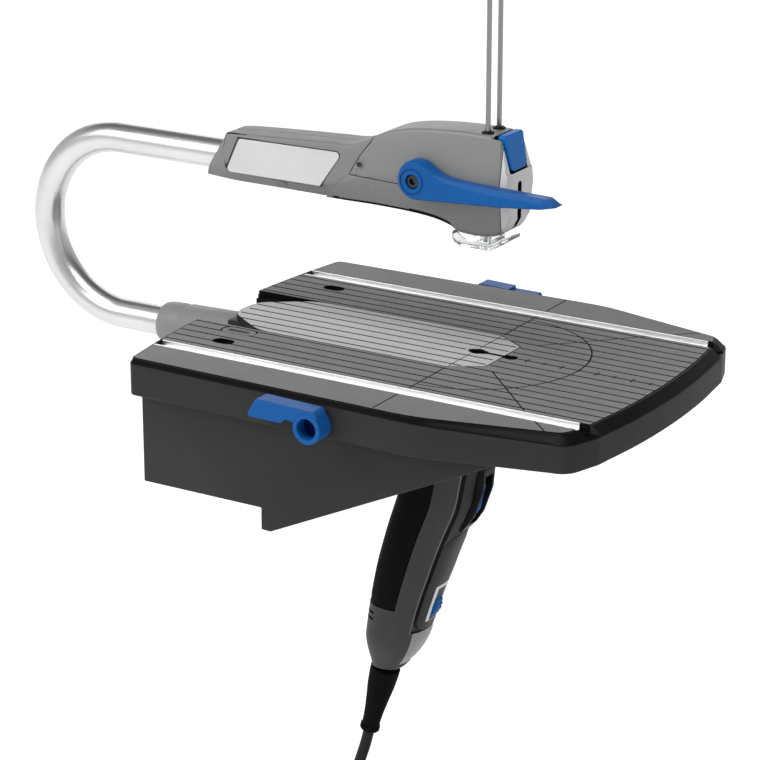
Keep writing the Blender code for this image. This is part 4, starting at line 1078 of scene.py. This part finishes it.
def head_cover():
    cover = make("head_cover_skin", grown, "slate", "base", "head_cover")
    cut(cover, hollow)
    cut(cover, lambda bm: slab(bm, cover_outline(0.0), "y", -40, 40), "INTERSECT")
    box_cut(cover, (CAP_X - GAP, -40, 40), (60, 40, 140))
    drill(cover, "y", LEVER, 4.2, -30, -5)
    cut(cover, pocket)
    cut(cover, brow)
    for y in (-ROD_Y, ROD_Y):
        drill(cover, "z", (ROD_X, y), 2.0, 90, 130, 24)
    # The walls of the button's pocket and of the rod holes are painted black as shade.
    paint(cover, "jet", lambda c, n: pocket_wall(c, n)
          or (abs(c.x - ROD_X) < 2.1 and c.z > 100 and abs(n.z) < 0.3 and abs(c.y) < 7.6))
    soften(cover, 0.45, 3)


def front_cap():
    cap = make("front_cap_skin", grown, "silver", "base", "front_cap")
    cut(cap, hollow)
    box_cut(cap, (CAP_X, -40, 40), (60, 40, 140), "INTERSECT")
    cut(cap, pocket)
    cut(cap, brow)
    slot = rounded([(-1.8, 40, 0), (1.8, 40, 0), (1.8, 90, 1.75), (-1.8, 90, 1.75)], 8)
    cut(cap, lambda bm: slab(bm, slot, "x", CAP_X - 2, 40))
    # The walls of the button's pocket and of the blade slot are painted black as shade.
    paint(cap, "jet", lambda c, n: pocket_wall(c, n) or (abs(c.y) < 2.0 and abs(n.x) < 0.5 and c.z < 90.5))
    soften(cap, 0.35)


def arm():
    for side, sign in SIDES:
        sleeve_half(side, sign)
        head_half(side, sign)
    make("label_panel_skin", lambda bm: label_shape(bm, 0.0, -0.3, 0.85), "label", "base", "label_panel", bevel=0.15)
    head_cover()
    front_cap()
    outline = rounded(BUTTON, 4)

    def button(bm):
        skin(bm, [[(15.9, y, z) for y, z in outline],
                  [(BUTTON_FACE - BUTTON_LEAN * (z - 94.0), y, z) for y, z in outline]])

    # The release button is a lighter copy of the switch blue: painted light.
    make("release_button_skin", button, "painted_light_blue", "foot_release", "release_button", bevel=0.7, segments=3)

    def guides(bm):
        for y in (-ROD_Y, ROD_Y):
            revolve(bm, "z", (ROD_X, y), [(112.2, 1.7), (112.2, 3.3), (113.5, 3.1), (113.9, 2.6), (113.9, 1.9),
                                          (113.5, 1.7)], 32)

    # The guides are black so that they read as the shade in the rod holes: painted shade.
    make("rod_guides", guides, "jet", "base")


def tension():
    sweep = span(math.radians(55), math.radians(268), 40)
    hub = [(-22.0 + 9.8 * math.cos(t), 89.0 + 9.8 * math.sin(t)) for t in sweep]
    low = [(2.7, 80.7), (24.3, 81.9), (45.6, 84.0), (53.4, 85.8), (54.5, 86.2)]
    tip = [(53.6, 87.0), (49.7, 89.4)]
    high = [tuple(p) for p in smooth_line([(48.0, 89.6), (24.0, 90.2), (2.5, 91.0), (-8.0, 92.6), (-13.5, 95.2)], 5)]
    cut_in = [(0.7 * math.cos(t), 0.7 * math.sin(t)) for t in sweep]  # how each point moves in at the face
    cut_in += [(0.0, -0.7)] * len(low) + [(0.8, 0.4), (0.8, 1.0)]
    cut_in += [(0.3, 2.6 if x > 18 else 2.6 - (18 - x) * 0.06) for x, z in high]

    def build(bm):
        skin(bm, [[(x - a * s, y, z - b * s) for (x, z), (a, b) in zip(hub + low + tip + high, cut_in)]
                  for y, s in ((-15.2, 0.6), (-15.8, 0.0), (-21.4, 0.0), (-22.7, 0.85), (-23.0, 1.15))])

    lever = make("tension_lever_skin", build, "blue", "tension", "tension_lever", smooth=30)
    drill(lever, "y", LEVER, 3.8, -18.0, 8.0, 32, "UNION")
    drill(lever, "y", (LEVER[0] + 1.6, LEVER[1]), 6.2, -3.5, 3.5, 40, "UNION")
    drill(lever, "y", LEVER, 3.7, -30.0, -19.0, 40)
    cut(lever, lambda bm: revolve(bm, "y", LEVER, [(-30.0, 6.6), (-22.5, 6.6), (-22.5, 5.6), (-30.0, 5.6)]))
    resmooth(lever, 30)
    socket_screw("lever_screw_skin", LEVER, -19.3, 3.3, 3.0, 1.65, "tension", "lever_screw")


def rod_hoop(bm):
    path = [Vector((ROD_X, -ROD_Y, z)) for z in (59.1, 75.0, 120.0, 184.0)]
    path += [Vector((ROD_X, -ROD_Y * math.cos(t), 184.0 + ROD_Y * math.sin(t))) for t in span(0.0, math.pi, 24)[1:-1]]
    path += [Vector((ROD_X, ROD_Y, z)) for z in (184.0, 120.0, 75.0, 59.1)]
    first = Vector((1, 0, 0))
    rings = []
    for i, p in enumerate(path):
        second = (path[min(i + 1, len(path) - 1)] - path[max(i - 1, 0)]).normalized().cross(first)
        rings.append([p + (first * math.cos(a) + second * math.sin(a)) * 1.25 for a in turns(24)])
    skin(bm, rings)


def sole(bm):
    """Flat fork whose two ends turn up."""
    fork = rounded([(-8.6, -12.0, 4.0), (18.6, -12.5, 4.0), (20.4, 0.0, 0), (18.6, 12.5, 4.0), (-8.6, 12.0, 4.0),
                    (-8.6, 4.5, 1.5), (4.0, 4.5, 3.5), (4.0, -4.5, 3.5), (-8.6, -4.5, 1.5)], 6)
    slab(bm, fork, "z", 56.5, 58.5)
    for x in (-7.4, -6.0, -4.5, -3.0, 12.0, 13.5, 15.0, 16.5, 18.0, 19.2):
        geometry = bm.verts[:] + bm.edges[:] + bm.faces[:]
        bmesh.ops.bisect_plane(bm, geom=geometry, plane_co=(x, 0, 0), plane_no=(1, 0, 0))
    for vert in bm.verts:
        x = vert.co.x
        vert.co.z += 4.2 * (max(0.0, -2.0 - x) / 6.6) ** 2 + 4.0 * (max(0.0, x - 11.5) / 8.9) ** 2


def rods_and_foot():
    make("hold_down_rod_skin", rod_hoop, "rod", "hold_down", "hold_down_rod", smooth=40)
    foot = make("clear_foot_skin", sole, "clear", "hold_down", "clear_foot", smooth=30)
    riser = rounded([(5.6, -8.0, 1.2), (11.8, -8.0, 1.2), (11.8, 8.0, 1.2), (5.6, 8.0, 1.2)])
    cut(foot, lambda bm: slab(bm, riser, "z", 58.0, 65.0), "UNION")
    for y in (-ROD_Y, ROD_Y):
        drill(foot, "z", (ROD_X, y), 1.45, 58.8, 70.0, 24)
    soften(foot, 0.3, angle=40.0)


def inside():
    looks = {"motor_can": "steel", "motor_pinion": "steel", "switch_body": "dark", "speed_module": "dark",
             "drive_gear": "steel", "gear_bearing": "brass", "drive_yoke": "steel", "lower_clamp_screw": "screw",
             "drive_guide": "brass", "upper_plunger": "steel", "upper_clamp": "steel",
             "upper_clamp_screw": "screw", "plunger_guide": "brass", "tension_spring": "steel"}
    for node, look in looks.items():
        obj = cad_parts[node]
        for slot in obj.material_slots:
            slot.material = M[look]


table()
tube()
handle()
arm()
tension()
rods_and_foot()
socket_screw("arm_screw_skin", (-58.2, 90.4), -14.6, 1.3, 0.45, 0.4, "base", "arm_screw_1")
inside()

bpy.context.view_layer.update()
